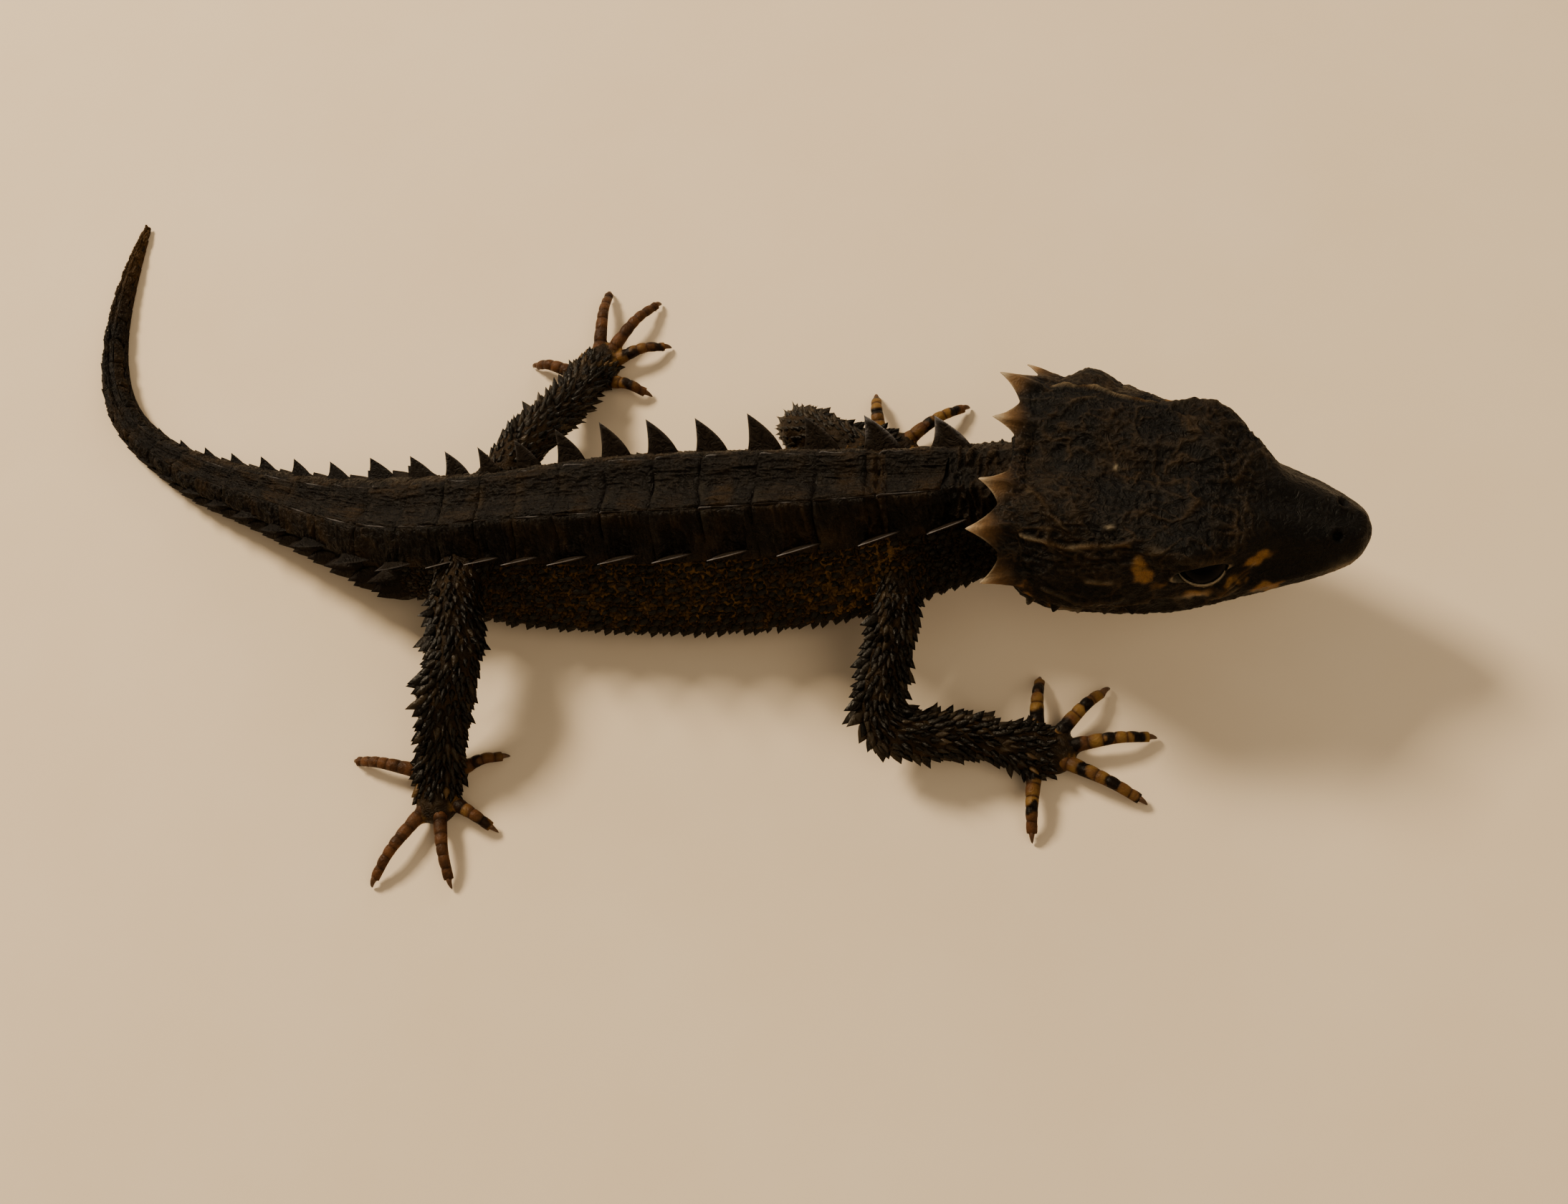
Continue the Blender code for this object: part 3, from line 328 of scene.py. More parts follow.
# Those of the plates run across the plate or lie any way, and each kind adds to height and to
# shade. The raised wrinkles are lighter and the sunk cracks darker, as painted light and painted
# shade over the relief. Their seeds count from the plate's own.
PLATE_RIBS = ((0.7, 0.22, 1), (0.50, 0), 2.5)
PLATE_WRINKLES = (
    ("across", PLATE_RIBS, 0.09, 0.24),
    ("across", ((0.5, 0.2, 13), (0.27, 14), 3), 0.07, 0.30),
    ("across", ((0.3, 0.1, 18), (0.15, 19), 2), 0.035, 0.24),
    ("any", ((0.9, 0.45, 3), (0.75, 5), 5), 0.04, 0.0),
    ("any", ((0.4, 0.2, 6), (0.24, 7), 3), 0.04, 0.18),
    ("any", ((0.7, 0.3, 8), (1.1, 11), 9), -0.07, -0.25),
)


def smooth(table, at):
    """The other columns of a table at values of its first, on a smooth curve."""
    rows = np.asarray(table, float)
    first = rows[:, 0]
    at = np.clip(np.asarray(at, float), first[0], first[-1])
    i = np.clip(np.searchsorted(first, at) - 1, 0, len(first) - 2)
    before, after = np.maximum(i - 1, 0), np.minimum(i + 2, len(first) - 1)
    step = first[i + 1] - first[i]
    rise_in = (rows[i + 1] - rows[before]) * (step / (first[i + 1] - first[before]))[..., None]
    rise_out = (rows[after] - rows[i]) * (step / (first[after] - first[i]))[..., None]
    t = ((at - first[i]) / step)[..., None]
    value = (
        (2 * t ** 3 - 3 * t ** 2 + 1) * rows[i] + (t ** 3 - 2 * t ** 2 + t) * rise_in
        + (3 * t ** 2 - 2 * t ** 3) * rows[i + 1] + (t ** 3 - t ** 2) * rise_out
    )
    return value[..., 1:]


def unit(vectors):
    """Vectors at length one."""
    vectors = np.asarray(vectors, float)
    return vectors / np.maximum(np.linalg.norm(vectors, axis=-1, keepdims=True), 1e-12)


def ease(low, high, at):
    """A smooth step from 0 at low to 1 at high."""
    t = np.clip((np.asarray(at, float) - low) / (high - low), 0.0, 1.0)
    return t * t * (3 - 2 * t)


def bell(at, middle, spread):
    """A bump of height one."""
    return np.exp(-((np.asarray(at, float) - middle) / spread) ** 2)


def scramble(x, y, z, seed):
    """A fixed number from 0 to 1 for each whole-number place."""
    mixed = (x.astype(np.int64) * 374761393 + y.astype(np.int64) * 668265263
             + z.astype(np.int64) * 2147483647 + seed * 1274126177) & 0xFFFFFFFF
    mixed = ((mixed ^ (mixed >> 13)) * 1103515245) & 0xFFFFFFFF
    mixed = ((mixed ^ (mixed >> 16)) * 69069) & 0xFFFFFFFF
    return ((mixed ^ (mixed >> 15)) & 0xFFFFFF) / float(0x1000000)


def cloud(points, size, seed):
    """Smooth noise from 0 to 1 with features of a given size."""
    at = np.asarray(points, float) / size
    low = np.floor(at)
    part = at - low
    part = part ** 3 * (part * (part * 6 - 15) + 10)
    low = low.astype(np.int64)
    total = 0.0
    for dx in (0, 1):
        for dy in (0, 1):
            for dz in (0, 1):
                weight = ((part[..., 0] if dx else 1 - part[..., 0])
                          * (part[..., 1] if dy else 1 - part[..., 1])
                          * (part[..., 2] if dz else 1 - part[..., 2]))
                total = total + weight * scramble(
                    low[..., 0] + dx, low[..., 1] + dy, low[..., 2] + dz, seed)
    return total


def crease(points, size, seed):
    """Noise with sharp ridges, from 0 in the valleys to 1 on the ridges."""
    return 1 - np.abs(2 * cloud(points, size, seed) - 1)


def warp(points, size, amount, seed):
    """Points moved about by smooth noise."""
    shift = np.stack([cloud(points, size, seed + i) - 0.5 for i in range(3)], axis=-1)
    return points + 2 * amount * shift


def wrinkles(points, kind, seed=0):
    """Ridges of one kind that wander over points."""
    (bend, amount, bend_seed), (line, line_seed), power = kind
    return crease(warp(points, bend, amount, seed + bend_seed), line, seed + line_seed) ** power


def chance(one, two, three, seed):
    """A fixed number from 0 to 1 for three whole numbers."""
    return float(scramble(*(np.array([v]) for v in (one, two, three)), seed)[0])


def cells(points, size, seed):
    """Distance to the nearest and the next cell centre, in cell sizes."""
    at = np.asarray(points, float) / size
    low = np.floor(at).astype(np.int64)
    first = np.full(at.shape[:-1], 9.0)
    second = np.full(at.shape[:-1], 9.0)
    for dx in (-1, 0, 1):
        for dy in (-1, 0, 1):
            for dz in (-1, 0, 1):
                cell = low + (dx, dy, dz)
                centre = cell + np.stack([
                    scramble(cell[..., 0], cell[..., 1], cell[..., 2], seed + i)
                    for i in range(3)], axis=-1)
                far = np.linalg.norm(centre - at, axis=-1)
                second = np.minimum(second, np.maximum(far, first))
                first = np.minimum(first, far)
    return first, second


def head_place(along, across, up):
    """Points given in the head's own directions, in the body's frame."""
    yaw = math.radians(HEAD_YAW)
    along, across, up = np.broadcast_arrays(*(np.asarray(v, float) for v in (along, across, up)))
    x = HEAD_ORIGIN[0] + along * math.cos(yaw) - across * math.sin(yaw)
    y = HEAD_ORIGIN[1] + along * math.sin(yaw) + across * math.cos(yaw)
    return np.stack((x, y, up), axis=-1)


def head_read(points):
    """The head's own directions of points in the body's frame."""
    yaw = math.radians(HEAD_YAW)
    x, y = points[..., 0] - HEAD_ORIGIN[0], points[..., 1] - HEAD_ORIGIN[1]
    return (x * math.cos(yaw) + y * math.sin(yaw), y * math.cos(yaw) - x * math.sin(yaw),
            points[..., 2])


def body_axis():
    """Distances behind the head joint, with the axis point and bend at each."""
    at = head_place(NECK_SEAT, 0.0, 0.0)[:2]
    rows = []
    for i in range(int(AXIS_LENGTH / AXIS_STEP) + 2):
        bend = math.radians(float(smooth(AXIS_BEND, i * AXIS_STEP)[0]))
        rows.append((i * AXIS_STEP, at[0], at[1], bend))
        at = at + AXIS_STEP * np.array((-math.cos(bend), math.sin(bend)))
    return np.array(rows)


AXIS = body_axis()


def axis_at(distance):
    """Axis points, the way back along the axis and the way to the left."""
    distance = np.asarray(distance, float)
    x, y, bend = (np.interp(distance, AXIS[:, 0], AXIS[:, i]) for i in (1, 2, 3))
    zero = np.zeros_like(x)
    back = np.stack((-np.cos(bend), np.sin(bend), zero), axis=-1)
    left = np.stack((np.sin(bend), np.cos(bend), zero), axis=-1)
    point = np.stack((x, y, zero), axis=-1) + back * np.minimum(distance, 0.0)[..., None]
    return point, back, left


def section_at(section, k):
    """Across and up shares of a half cross-section, smooth over both mid lines."""
    rows = [(-r[0], -r[1], r[2]) for r in section[1:3]][::-1] + list(section)
    rows += [(16 - r[0], -r[1], r[2]) for r in section[-3:-1][::-1]]
    return smooth(rows, k)


def tail_share(at):
    """How far the trunk has turned into tail, from 0 to 1."""
    return np.clip((np.asarray(at, float) - TAIL_STARTS) / (TAIL_FULL - TAIL_STARTS), 0.0, 1.0)


def body_point(distance, turn):
    """The skin at a distance and a signed place from mid back (0) to mid belly (8)."""
    distance, turn = np.broadcast_arrays(np.asarray(distance, float), np.asarray(turn, float))
    rows = smooth(BODY, distance)
    half, under, top = rows[..., 0], rows[..., 1], rows[..., 2]
    tail = tail_share(distance)[..., None]
    k = np.abs(turn)
    share = (1 - tail) * section_at(TRUNK_SECTION, k) + tail * section_at(TAIL_SECTION, k)
    point, _, left = axis_at(distance)
    across = np.sign(turn) * share[..., 0] * half
    up = under + share[..., 1] * (top - under)
    return point + left * across[..., None] + UP * np.maximum(up, 0.0)[..., None]


def body_frame(distance, turn):
    """Skin points with the way back and the way out there."""
    here = body_point(distance, turn)
    back = unit(body_point(distance + 0.2, turn) - body_point(distance - 0.2, turn))
    side = unit(body_point(distance, turn + 0.08) - body_point(distance, turn - 0.08))
    out = unit(np.cross(side, back))
    return here, back, out


def head_outline(along):
    """Rows of the head's half outline from mid top (0) by the lips (5) to mid chin (10)."""
    top, dip, crest, crest_up, cheek, cheek_up, lip, lip_up, jaw, chin = smooth(HEAD, along)
    rise = 0.15 + 0.25 * (cheek_up - lip_up)
    deep = lip_up - chin
    return (
        (-1, -0.55 * crest, top), (0, 0.0, top - dip), (1, 0.55 * crest, top),
        (2, crest, crest_up), (3, cheek, cheek_up), (4, lip, lip_up + rise),
        (5, 0.98 * lip, lip_up), (6, lip - 0.05, lip_up - 0.25 * deep),
        (7, lip - 0.25 * (lip - jaw), lip_up - 0.6 * deep), (8, jaw, chin + 0.12 * deep),
        (9, 0.5 * jaw, chin), (10, 0.0, chin), (11, -0.5 * jaw, chin),
    )


def head_ring(along, turns):
    """Head skin points round one outline, at signed places from mid top (0) to mid chin (10)."""
    flat = smooth(head_outline(along), np.abs(turns))
    return head_place(along, np.sign(turns) * flat[:, 0], flat[:, 1])


def limb_path(joints):
    """A smooth path through a limb's joints, its half widths and half heights."""
    joints = np.array(joints)
    steps = np.linalg.norm(np.diff(joints[:, :3], axis=0), axis=1)
    rows = np.column_stack((np.concatenate(([0.0], np.cumsum(steps))), joints))
    read = smooth(rows, np.arange(0.0, rows[-1, 0] + 0.5 * LIMB_STEP, LIMB_STEP))
    at = LIMB_STEP * np.arange(len(read))
    slim = LIMB_SLIM + LOWER_FULLER * ease(8.0, 11.0, at) - ROOT_SLIM * ease(6.0, 1.0, at)
    return read[:, :3], slim * read[:, 3], slim * read[:, 4]


def ways_of(path):
    """The way ahead, the way across and the way over at each point of a path."""
    ahead = unit(np.gradient(path, axis=0))
    across = unit(np.cross(ahead, UP))
    return ahead, across, np.cross(across, ahead)


def digit_path(joints, sole, angle, reach, set_back):
    """Path and radii of a digit from inside the sole to its tip."""
    centre = np.array(joints[sole][:3])
    heading = unit(np.array(joints[sole + 1][:3]) - centre)
    way = np.array((math.cos(math.radians(angle)), math.sin(math.radians(angle)), 0.0))
    base = centre - heading * set_back
    reach = reach + TOE_MORE
    points = (
        (0.5, 0.95), (1.7, 1.05), (0.45 * reach + 0.7, ARCH_HEIGHT),
        (0.72 * reach + 0.3, ARCH_HEIGHT - 0.1), (reach, TIP_HEIGHT),
    )
    rows = [(i, *(base[:2] + way[:2] * out), up) for i, (out, up) in enumerate(points)]
    stops = np.linspace(0, 4, DIGIT_STOPS)
    return smooth(rows, stops), TOE_SLIM * np.interp(stops, (0, 1, 2.5, 4), DIGIT_RADII), way


def every_digit():
    """Limb, place on it, reach, path, radii and way of each digit."""
    for number, (joints, sole, digits) in enumerate(LIMBS):
        for finger, (angle, reach, set_back) in enumerate(digits):
            yield number, finger, reach, *digit_path(joints, sole, angle, reach, set_back)


def place(points):
    """Points of the body's frame in millimetres, in the model's frame in metres."""
    return (np.asarray(points) - (*ORIGIN, 0.0)) * MM


def grid_faces(rows, columns, closed=False):
    """Triangles of a grid of points, closed round its columns or not."""
    r, c = np.meshgrid(np.arange(rows - 1), np.arange(columns if closed else columns - 1),
                       indexing="ij")
    one = r * columns + c
    two = r * columns + (c + 1) % columns
    three, four = two + columns, one + columns
    return np.concatenate((np.stack((one, two, three), -1).reshape(-1, 3),
                           np.stack((one, three, four), -1).reshape(-1, 3)))


def copies(faces, count, size):
    """Triangles of a number of like forms, each with as many points."""
    return faces[None] + np.arange(count)[:, None, None] * size


def tube(rings):
    """Points and triangles of a closed body through rings."""
    rings = np.asarray(rings)
    rows, columns = rings.shape[:2]
    ends = rings[0].mean(0)[None], rings[-1].mean(0)[None]
    points = np.concatenate((rings.reshape(-1, 3), *ends))
    faces = grid_faces(rows, columns, closed=True)
    ring = np.arange(columns)
    nearer = np.stack((np.roll(ring, -1), ring, np.full(columns, rows * columns)), -1)
    last = (rows - 1) * columns
    farther = np.stack((last + ring, last + np.roll(ring, -1),
                        np.full(columns, rows * columns + 1)), -1)
    return points, np.concatenate((faces, nearer, farther))


def oval_rings(path, widths, heights, turns):
    """Oval rings of points round a path."""
    _, across, over = ways_of(path)
    return (path[:, None] + across[:, None] * (widths[:, None] * np.cos(turns))[..., None]
            + over[:, None] * (heights[:, None] * np.sin(turns))[..., None])


def sweep(path, widths, heights, sides):
    """Points and triangles of a tube of oval rings, never lower than the floor."""
    rings = oval_rings(path, widths, heights, 2 * np.pi * np.arange(sides) / sides)
    rings[..., 2] = np.maximum(rings[..., 2], 0.0)
    return tube(rings)


def read_along(table, steps, at):
    """A table of numbers or of vectors, read at places between its steps."""
    if table.ndim == 1:
        return np.interp(at, steps, table)
    return np.stack([np.interp(at, steps, column) for column in table.T], -1)


def new_object(name, data):
    """An object in the scene for a mesh, a lamp or a camera."""
    obj = bpy.data.objects.new(name, data)
    bpy.context.scene.collection.objects.link(obj)
    return obj


def new_mesh(name, points, faces):
    """A mesh object from points in the model's frame and triangles."""
    mesh = bpy.data.meshes.new(name)
    points = np.asarray(points, np.float32)
    faces = np.asarray(faces, np.int32)
    sides = faces.shape[1]
    mesh.vertices.add(len(points))
    mesh.vertices.foreach_set("co", points.ravel())
    mesh.loops.add(faces.size)
    mesh.loops.foreach_set("vertex_index", faces.ravel())
    mesh.polygons.add(len(faces))
    mesh.polygons.foreach_set("loop_start", np.arange(0, faces.size, sides, dtype=np.int32))
    mesh.polygons.foreach_set("use_smooth", np.full(len(faces), True))
    mesh.update(calc_edges=True)
    mesh.validate()
    return new_object(name, mesh)


def set_mark(obj, name, values):
    """A named number on each point of a mesh."""
    mark = obj.data.attributes.new(name, "FLOAT", "POINT")
    mark.data.foreach_set("value", np.asarray(values, np.float32))


class Pile:
    """Many small forms gathered into one mesh, with their markings and unwrap."""

    def __init__(self):
        self.points, self.faces, self.unwrap, self.count = [], [], [], 0
        self.marks = {name: [] for name in MARKS}

    def add(self, points, faces, unwrap, pale=0.0, warm=0.0, shade=0.5):
        """One form or many: points (N, 3), triangles, unwrap (N, 2) and markings."""
        points = np.asarray(points).reshape(-1, 3)
        self.points.append(points)
        self.faces.append(np.asarray(faces).reshape(-1, 3) + self.count)
        self.unwrap.append(np.asarray(unwrap).reshape(-1, 2))
        for name, value in zip(MARKS, (pale, warm, shade)):
            self.marks[name].append(np.broadcast_to(np.asarray(value, float).ravel(), len(points))
                                    if np.size(value) != len(points) else np.ravel(value))
        self.count += len(points)

    def build(self, name, slot, material):
        """The gathered mesh as one piece that rides on the body."""
        faces = np.concatenate(self.faces)
        obj = new_mesh(name, place(np.concatenate(self.points)), faces)
        for mark, values in self.marks.items():
            set_mark(obj, mark, np.concatenate(values))
        layer = obj.data.uv_layers.new(name="OFBake")
        loops = np.empty(len(obj.data.loops), np.int32)
        obj.data.loops.foreach_get("vertex_index", loops)
        layer.data.foreach_set("uv", np.concatenate(self.unwrap)[loops].astype(np.float32).ravel())
        obj.data.materials.append(material)
        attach(obj, "root")
        return obj


# The unwrap of the skin: the body runs along the lower half of the square, the head
# lies above it at the left and the limbs above it at the right.
def body_unwrap(distance, turn):
    """The place of body skin on the unwrap."""
    distance, turn = np.broadcast_arrays(distance, turn)
    return np.stack((0.02 + 0.96 * distance / AXIS_LENGTH, 0.25 + 0.028 * turn), axis=-1)


def head_unwrap(along, turn):
    """The place of head skin on the unwrap."""
    along, turn = np.broadcast_arrays(along, turn)
    return np.stack((0.02 + 0.018 * along, 0.75 + 0.022 * turn), axis=-1)


def limb_unwrap(number, share, turn):
    """The place of limb skin on the unwrap: its number, how far along and how far round."""
    share, turn = np.broadcast_arrays(share, turn)
    return np.stack((0.5 + 0.48 * share, 0.57 + 0.11 * number + 0.05 * turn), axis=-1)


# Small forms in their own directions: back, side and out, each in shares of its size.
def dome_form(sides, point=0.0):
    """A low dome or a cone with its tip set back."""
    turn = 2 * np.pi * np.arange(sides) / sides
    low = np.stack((0.5 * np.cos(turn), 0.5 * np.sin(turn), np.full(sides, -0.35)), -1)
    mid = np.stack((0.36 * np.cos(turn) + 0.25 * point, 0.36 * np.sin(turn),
                    np.full(sides, 0.62 - 0.15 * point)), -1)
    points = np.concatenate((low, mid, [(0.55 * point, 0.0, 1.0)]))
    ring = np.arange(sides)
    after = np.roll(ring, -1)
    faces = np.concatenate((
        np.stack((ring, after, sides + after), -1),
        np.stack((ring, sides + after, sides + ring), -1),
        np.stack((sides + ring, sides + after, np.full(sides, 2 * sides)), -1)))
    return points, faces


def scatter(pile, form, roots, back, out, length, width, height, unwrap, **marks):
    """Copies of a small form set on a surface."""
    points, faces = form
    roots, back, out = (np.asarray(v, float).reshape(-1, 3) for v in (roots, back, out))
    count = len(roots)
    back = unit(back - out * (back * out).sum(-1, keepdims=True))
    side = np.cross(out, back)
    length, width, height = (np.broadcast_to(np.asarray(v, float), count)
                             for v in (length, width, height))
    spots = (roots[:, None]
             + back[:, None] * (length[:, None] * points[None, :, 0])[..., None]
             + side[:, None] * (width[:, None] * points[None, :, 1])[..., None]
             + out[:, None] * (height[:, None] * points[None, :, 2])[..., None])
    spots[..., 2] = np.maximum(spots[..., 2], 0.0)
    every = copies(faces, count, len(points))
    patch = np.asarray(unwrap).reshape(-1, 1, 2) + PATCH * 2 * points[None, :, :2]
    spread = {}
    for name, value in marks.items():
        value = np.asarray(value, float)
        if value.ndim < 2:
            value = np.broadcast_to(value.reshape(-1, 1) if value.ndim else value,
                                    (count, len(points)))
        spread[name] = value
    pile.add(spots, every, patch, **spread)


def segments():
    """Middle and length of every segment of the back, from the neck to the tail's tip."""
    at, rows = FIRST_SEGMENT, []
    while at < AXIS_LENGTH - 1.0:
        pitch = float(smooth(SEGMENT_PITCH, at)[0])
        rows.append((at + 0.5 * pitch, pitch))
        at += pitch
    return np.array(rows)


SEGMENTS = segments()
SEGMENT_STARTS = SEGMENTS[:, 0] - 0.5 * SEGMENTS[:, 1]
BODY_TURNS = np.linspace(-8, 8, BODY_SIDES + 1)[:-1]
HEAD_TURNS = np.linspace(-10, 10, BODY_SIDES + 1)[:-1]
BODY_REGION, HEAD_REGION, LIMB_REGION, DIGIT_REGION = range(4)


def raw_skin():
    """The plain skin as overlapping closed tubes."""
    at = np.concatenate((np.arange(-0.6, 90.6, BODY_STEP), (90.8,)))
    share = np.linspace(0, 1, 80)
    along = HEAD[0][0] + (HEAD[-1][0] - HEAD[0][0]) * (1 - (1 - share) ** 1.35)
    tubes = [tube(body_point(at[:, None], BODY_TURNS[None, :])),
             tube(np.array([head_ring(a, HEAD_TURNS) for a in along[::-1]]))]
    for joints, sole, digits in LIMBS:
        tubes.append(sweep(*limb_path(joints), LIMB_SIDES))
        for digit in digits:
            path, radii, _ = digit_path(joints, sole, *digit)
            tubes.append(sweep(path, radii + 0.06, radii + 0.03, DIGIT_SIDES))
    points, faces, count = [], [], 0
    for spots, triangles in tubes:
        points.append(spots)
        faces.append(triangles + count)
        count += len(spots)
    return np.concatenate(points), np.concatenate(faces)


def mesh_arrays(mesh):
    """Points and edges of a mesh."""
    points = np.empty(len(mesh.vertices) * 3, np.float32)
    mesh.vertices.foreach_get("co", points)
    edges = np.empty(len(mesh.edges) * 2, np.int32)
    mesh.edges.foreach_get("vertices", edges)
    return points.reshape(-1, 3).astype(float), edges.reshape(-1, 2)


def relax(points, edges, rounds):
    """Points moved half way to the mean of their neighbours."""
    count = np.bincount(edges.ravel(), minlength=len(points))[:, None]
    for _ in range(rounds):
        total = np.zeros_like(points)
        for axis in range(3):
            total[:, axis] = (np.bincount(edges[:, 0], points[edges[:, 1], axis], len(points))
                              + np.bincount(edges[:, 1], points[edges[:, 0], axis], len(points)))
        points = points + 0.5 * (total / np.maximum(count, 1) - points)
    return points


def relax_values(values, edges):
    """A number on each point, evened out once."""
    return relax(np.repeat(values[:, None], 3, 1), edges, 1)[:, 0]


def join_skin():
    """One closed skin over head, body, limbs and digits, finer on the head and neck."""
    points, faces = raw_skin()
    rough = new_mesh("skin_rough", points, faces)
    rough.modifiers.new("join", "REMESH").mode = "VOXEL"
    rough.modifiers["join"].voxel_size = VOXEL
    graph = bpy.context.evaluated_depsgraph_get()
    mesh = bpy.data.meshes.new_from_object(rough.evaluated_get(graph))
    bpy.data.objects.remove(rough)
    spots, edges = mesh_arrays(mesh)
    spots = relax(spots, edges, 4)
    mesh.vertices.foreach_set("co", spots.astype(np.float32).ravel())
    body = bmesh.new()
    body.from_mesh(mesh)
    along, across, _ = head_read(spots)
    fine = (along > FINE_FROM) & (np.abs(across) < FINE_HALF_WIDTH)
    bmesh.ops.subdivide_edges(
        body, edges=[e for e in body.edges if fine[e.verts[0].index] and fine[e.verts[1].index]],
        cuts=1, use_grid_fill=True)
    bmesh.ops.triangulate(body, faces=body.faces)
    body.to_mesh(mesh)
    body.free()
    return mesh


def samples():
    """Known places on the plain skin: points, region and two readings of each.

    The readings are distance and turn on the body, distance and turn on the head,
    nothing on the limbs, and distance and number on the digits.
    """
    rows = []

    def note(points, region, one, two):
        points = points.reshape(-1, 3)
        wide = [np.broadcast_to(np.asarray(v, float), len(points)) for v in (region, one, two)]
        rows.append(np.column_stack((points, *wide)))

    at, turn = (v.ravel() for v in np.meshgrid(np.arange(-0.8, 91.0, BODY_STEP), BODY_TURNS))
    note(body_point(at, turn), BODY_REGION, at, turn)
    for along in np.arange(HEAD[0][0], HEAD[-1][0], 0.3):
        note(head_ring(along, HEAD_TURNS), HEAD_REGION, along, HEAD_TURNS)
    limb_turns, digit_turns = (2 * np.pi * np.arange(sides) / sides - np.pi
                               for sides in (KNOWN_LIMB_SIDES, KNOWN_DIGIT_SIDES))
    for number, (joints, sole, digits) in enumerate(LIMBS):
        note(oval_rings(*limb_path(joints), limb_turns)[::KNOWN_LIMB_RING], LIMB_REGION, 0, 0)
        for finger, (angle, reach, set_back) in enumerate(digits):
            path, radii, _ = digit_path(joints, sole, angle, reach, set_back)
            _, across, over = ways_of(path)
            rings = path[:, None] + radii[:, None, None] * (
                across[:, None] * np.cos(digit_turns)[:, None]
                + over[:, None] * np.sin(digit_turns)[:, None])
            out = np.repeat(np.linspace(0, reach, DIGIT_STOPS), KNOWN_DIGIT_SIDES)
            first = KNOWN_DIGIT_ROOT
            note(rings[first:], DIGIT_REGION, out[first * KNOWN_DIGIT_SIDES:], 5 * number + finger)
    return np.concatenate(rows)


def read_skin(points):
    """Region and readings of skin points from the nearest known place."""
    known = samples()
    tree = kdtree.KDTree(len(known))
    for i, row in enumerate(known):
        tree.insert(row[:3], i)
    tree.balance()
    nearest = np.array([tree.find(p)[1] for p in points.tolist()])
    found = known[nearest]
    region, one, two = found[:, 3].astype(int), found[:, 4].copy(), found[:, 5].copy()
    body = region == BODY_REGION
    shift = points[body] - found[body, :3]
    _, back, _ = axis_at(one[body])
    one[body] += (shift * back).sum(-1)
    step = body_point(one[body], two[body] + 0.05) - body_point(one[body], two[body] - 0.05)
    two[body] += 0.1 * (shift * step).sum(-1) / np.maximum((step * step).sum(-1), 1e-6)
    return region, one, two


def segment_phase(distance):
    """How far along its segment a place on the back lies, from 0 to 1."""
    number = np.clip(np.searchsorted(SEGMENT_STARTS, distance) - 1, 0, len(SEGMENTS) - 1)
    return (distance - SEGMENT_STARTS[number]) / SEGMENTS[number, 1]


def groove(phase, width):
    """A narrow dip at both ends of a phase that runs from 0 to 1."""
    near = np.minimum(phase, 1 - phase)
    return np.exp(-(near / width) ** 2)


def eye_of(side):
    """Centre of an eye, its way out, the way ahead along the lids and the way up."""
    centre = head_place(EYE_AT[0], side * EYE_AT[1], EYE_AT[2])
    along, across, up = EYE_LOOK
    look = unit(head_place(along, side * across, up) - head_place(0, 0, 0))
    ahead = unit(np.cross(UP, look)) * -side
    over = unit(np.cross(look, ahead)) * side
    return centre, look, ahead * np.sign(ahead[0]), over * np.sign(over[2])


def eye_reading(points, side):
    """Where points lie at an eye: along the lids, up, out, and how far round the lids.

    The last is 1 on the edge of the lids.
    """
    centre, look, ahead, over = eye_of(side)
    from_eye = points - centre
    u, v = from_eye @ ahead, from_eye @ over
    far = np.sqrt((u / LID_LONG) ** 2 + (v / np.where(v > 0, LID_TALL, LID_LOW)) ** 2)
    return u, v, from_eye @ look, far


def eye_surface(u, v):
    """How far out the eyeball reaches beside its middle."""
    return np.sqrt(np.maximum(EYE_RADIUS ** 2 - u * u - v * v, 0.0))


def shape_eyes(points):
    """Skin drawn back behind each eyeball inside the lids, and over it as lids."""
    for side in (1, -1):
        look = eye_of(side)[1]
        u, v, deep, far = eye_reading(points, side)
        near = (deep > -0.6) & (far < 2.2)
        reach = eye_surface(u, v)
        inside = 1 - ease(0.86, 1.02, far)
        target = np.where(far < 1.3, np.maximum(deep, reach + LID_GAP), deep)
        target = target + LID_RISE * bell(far, 1.16, 0.2) - LID_FOLD * bell(far, 1.5, 0.12)
        target = target * (1 - inside) + (reach - SOCKET_DEPTH) * inside
        points = np.where(near[:, None], points + look * (target - deep)[:, None], points)
    return points


# Warm and pale patches of the head in its own directions: place, spread, strength and
# side, which is 0 for both sides, 1 for left and -1 for right.
WARM_PATCHES = (
    ((10.1, 5.7, 12.7), (0.55, 0.9, 1.0), 1.5, 0), ((10.9, 5.6, 11.4), (0.5, 0.7, 0.6), 0.9, 0),
    ((16.5, 3.3, 11.3), (1.1, 0.6, 0.42), 1.6, 0), ((17.2, 4.1, 9.2), (1.3, 0.7, 0.45), 1.3, 0),
    ((15.2, 4.4, 10.2), (0.9, 0.8, 0.22), 0.8, 0), ((13.0, 5.6, 9.8), (1.2, 0.8, 0.35), 0.9, 0),
    ((16.8, 1.6, 12.2), (0.35, 0.25, 0.5), 0.6, -1),
    ((3.4, 6.8, 11.2), (0.7, 0.8, 1.0), 0.6, -1), ((4.6, 6.9, 8.3), (0.8, 0.8, 0.4), 0.9, 0),
)
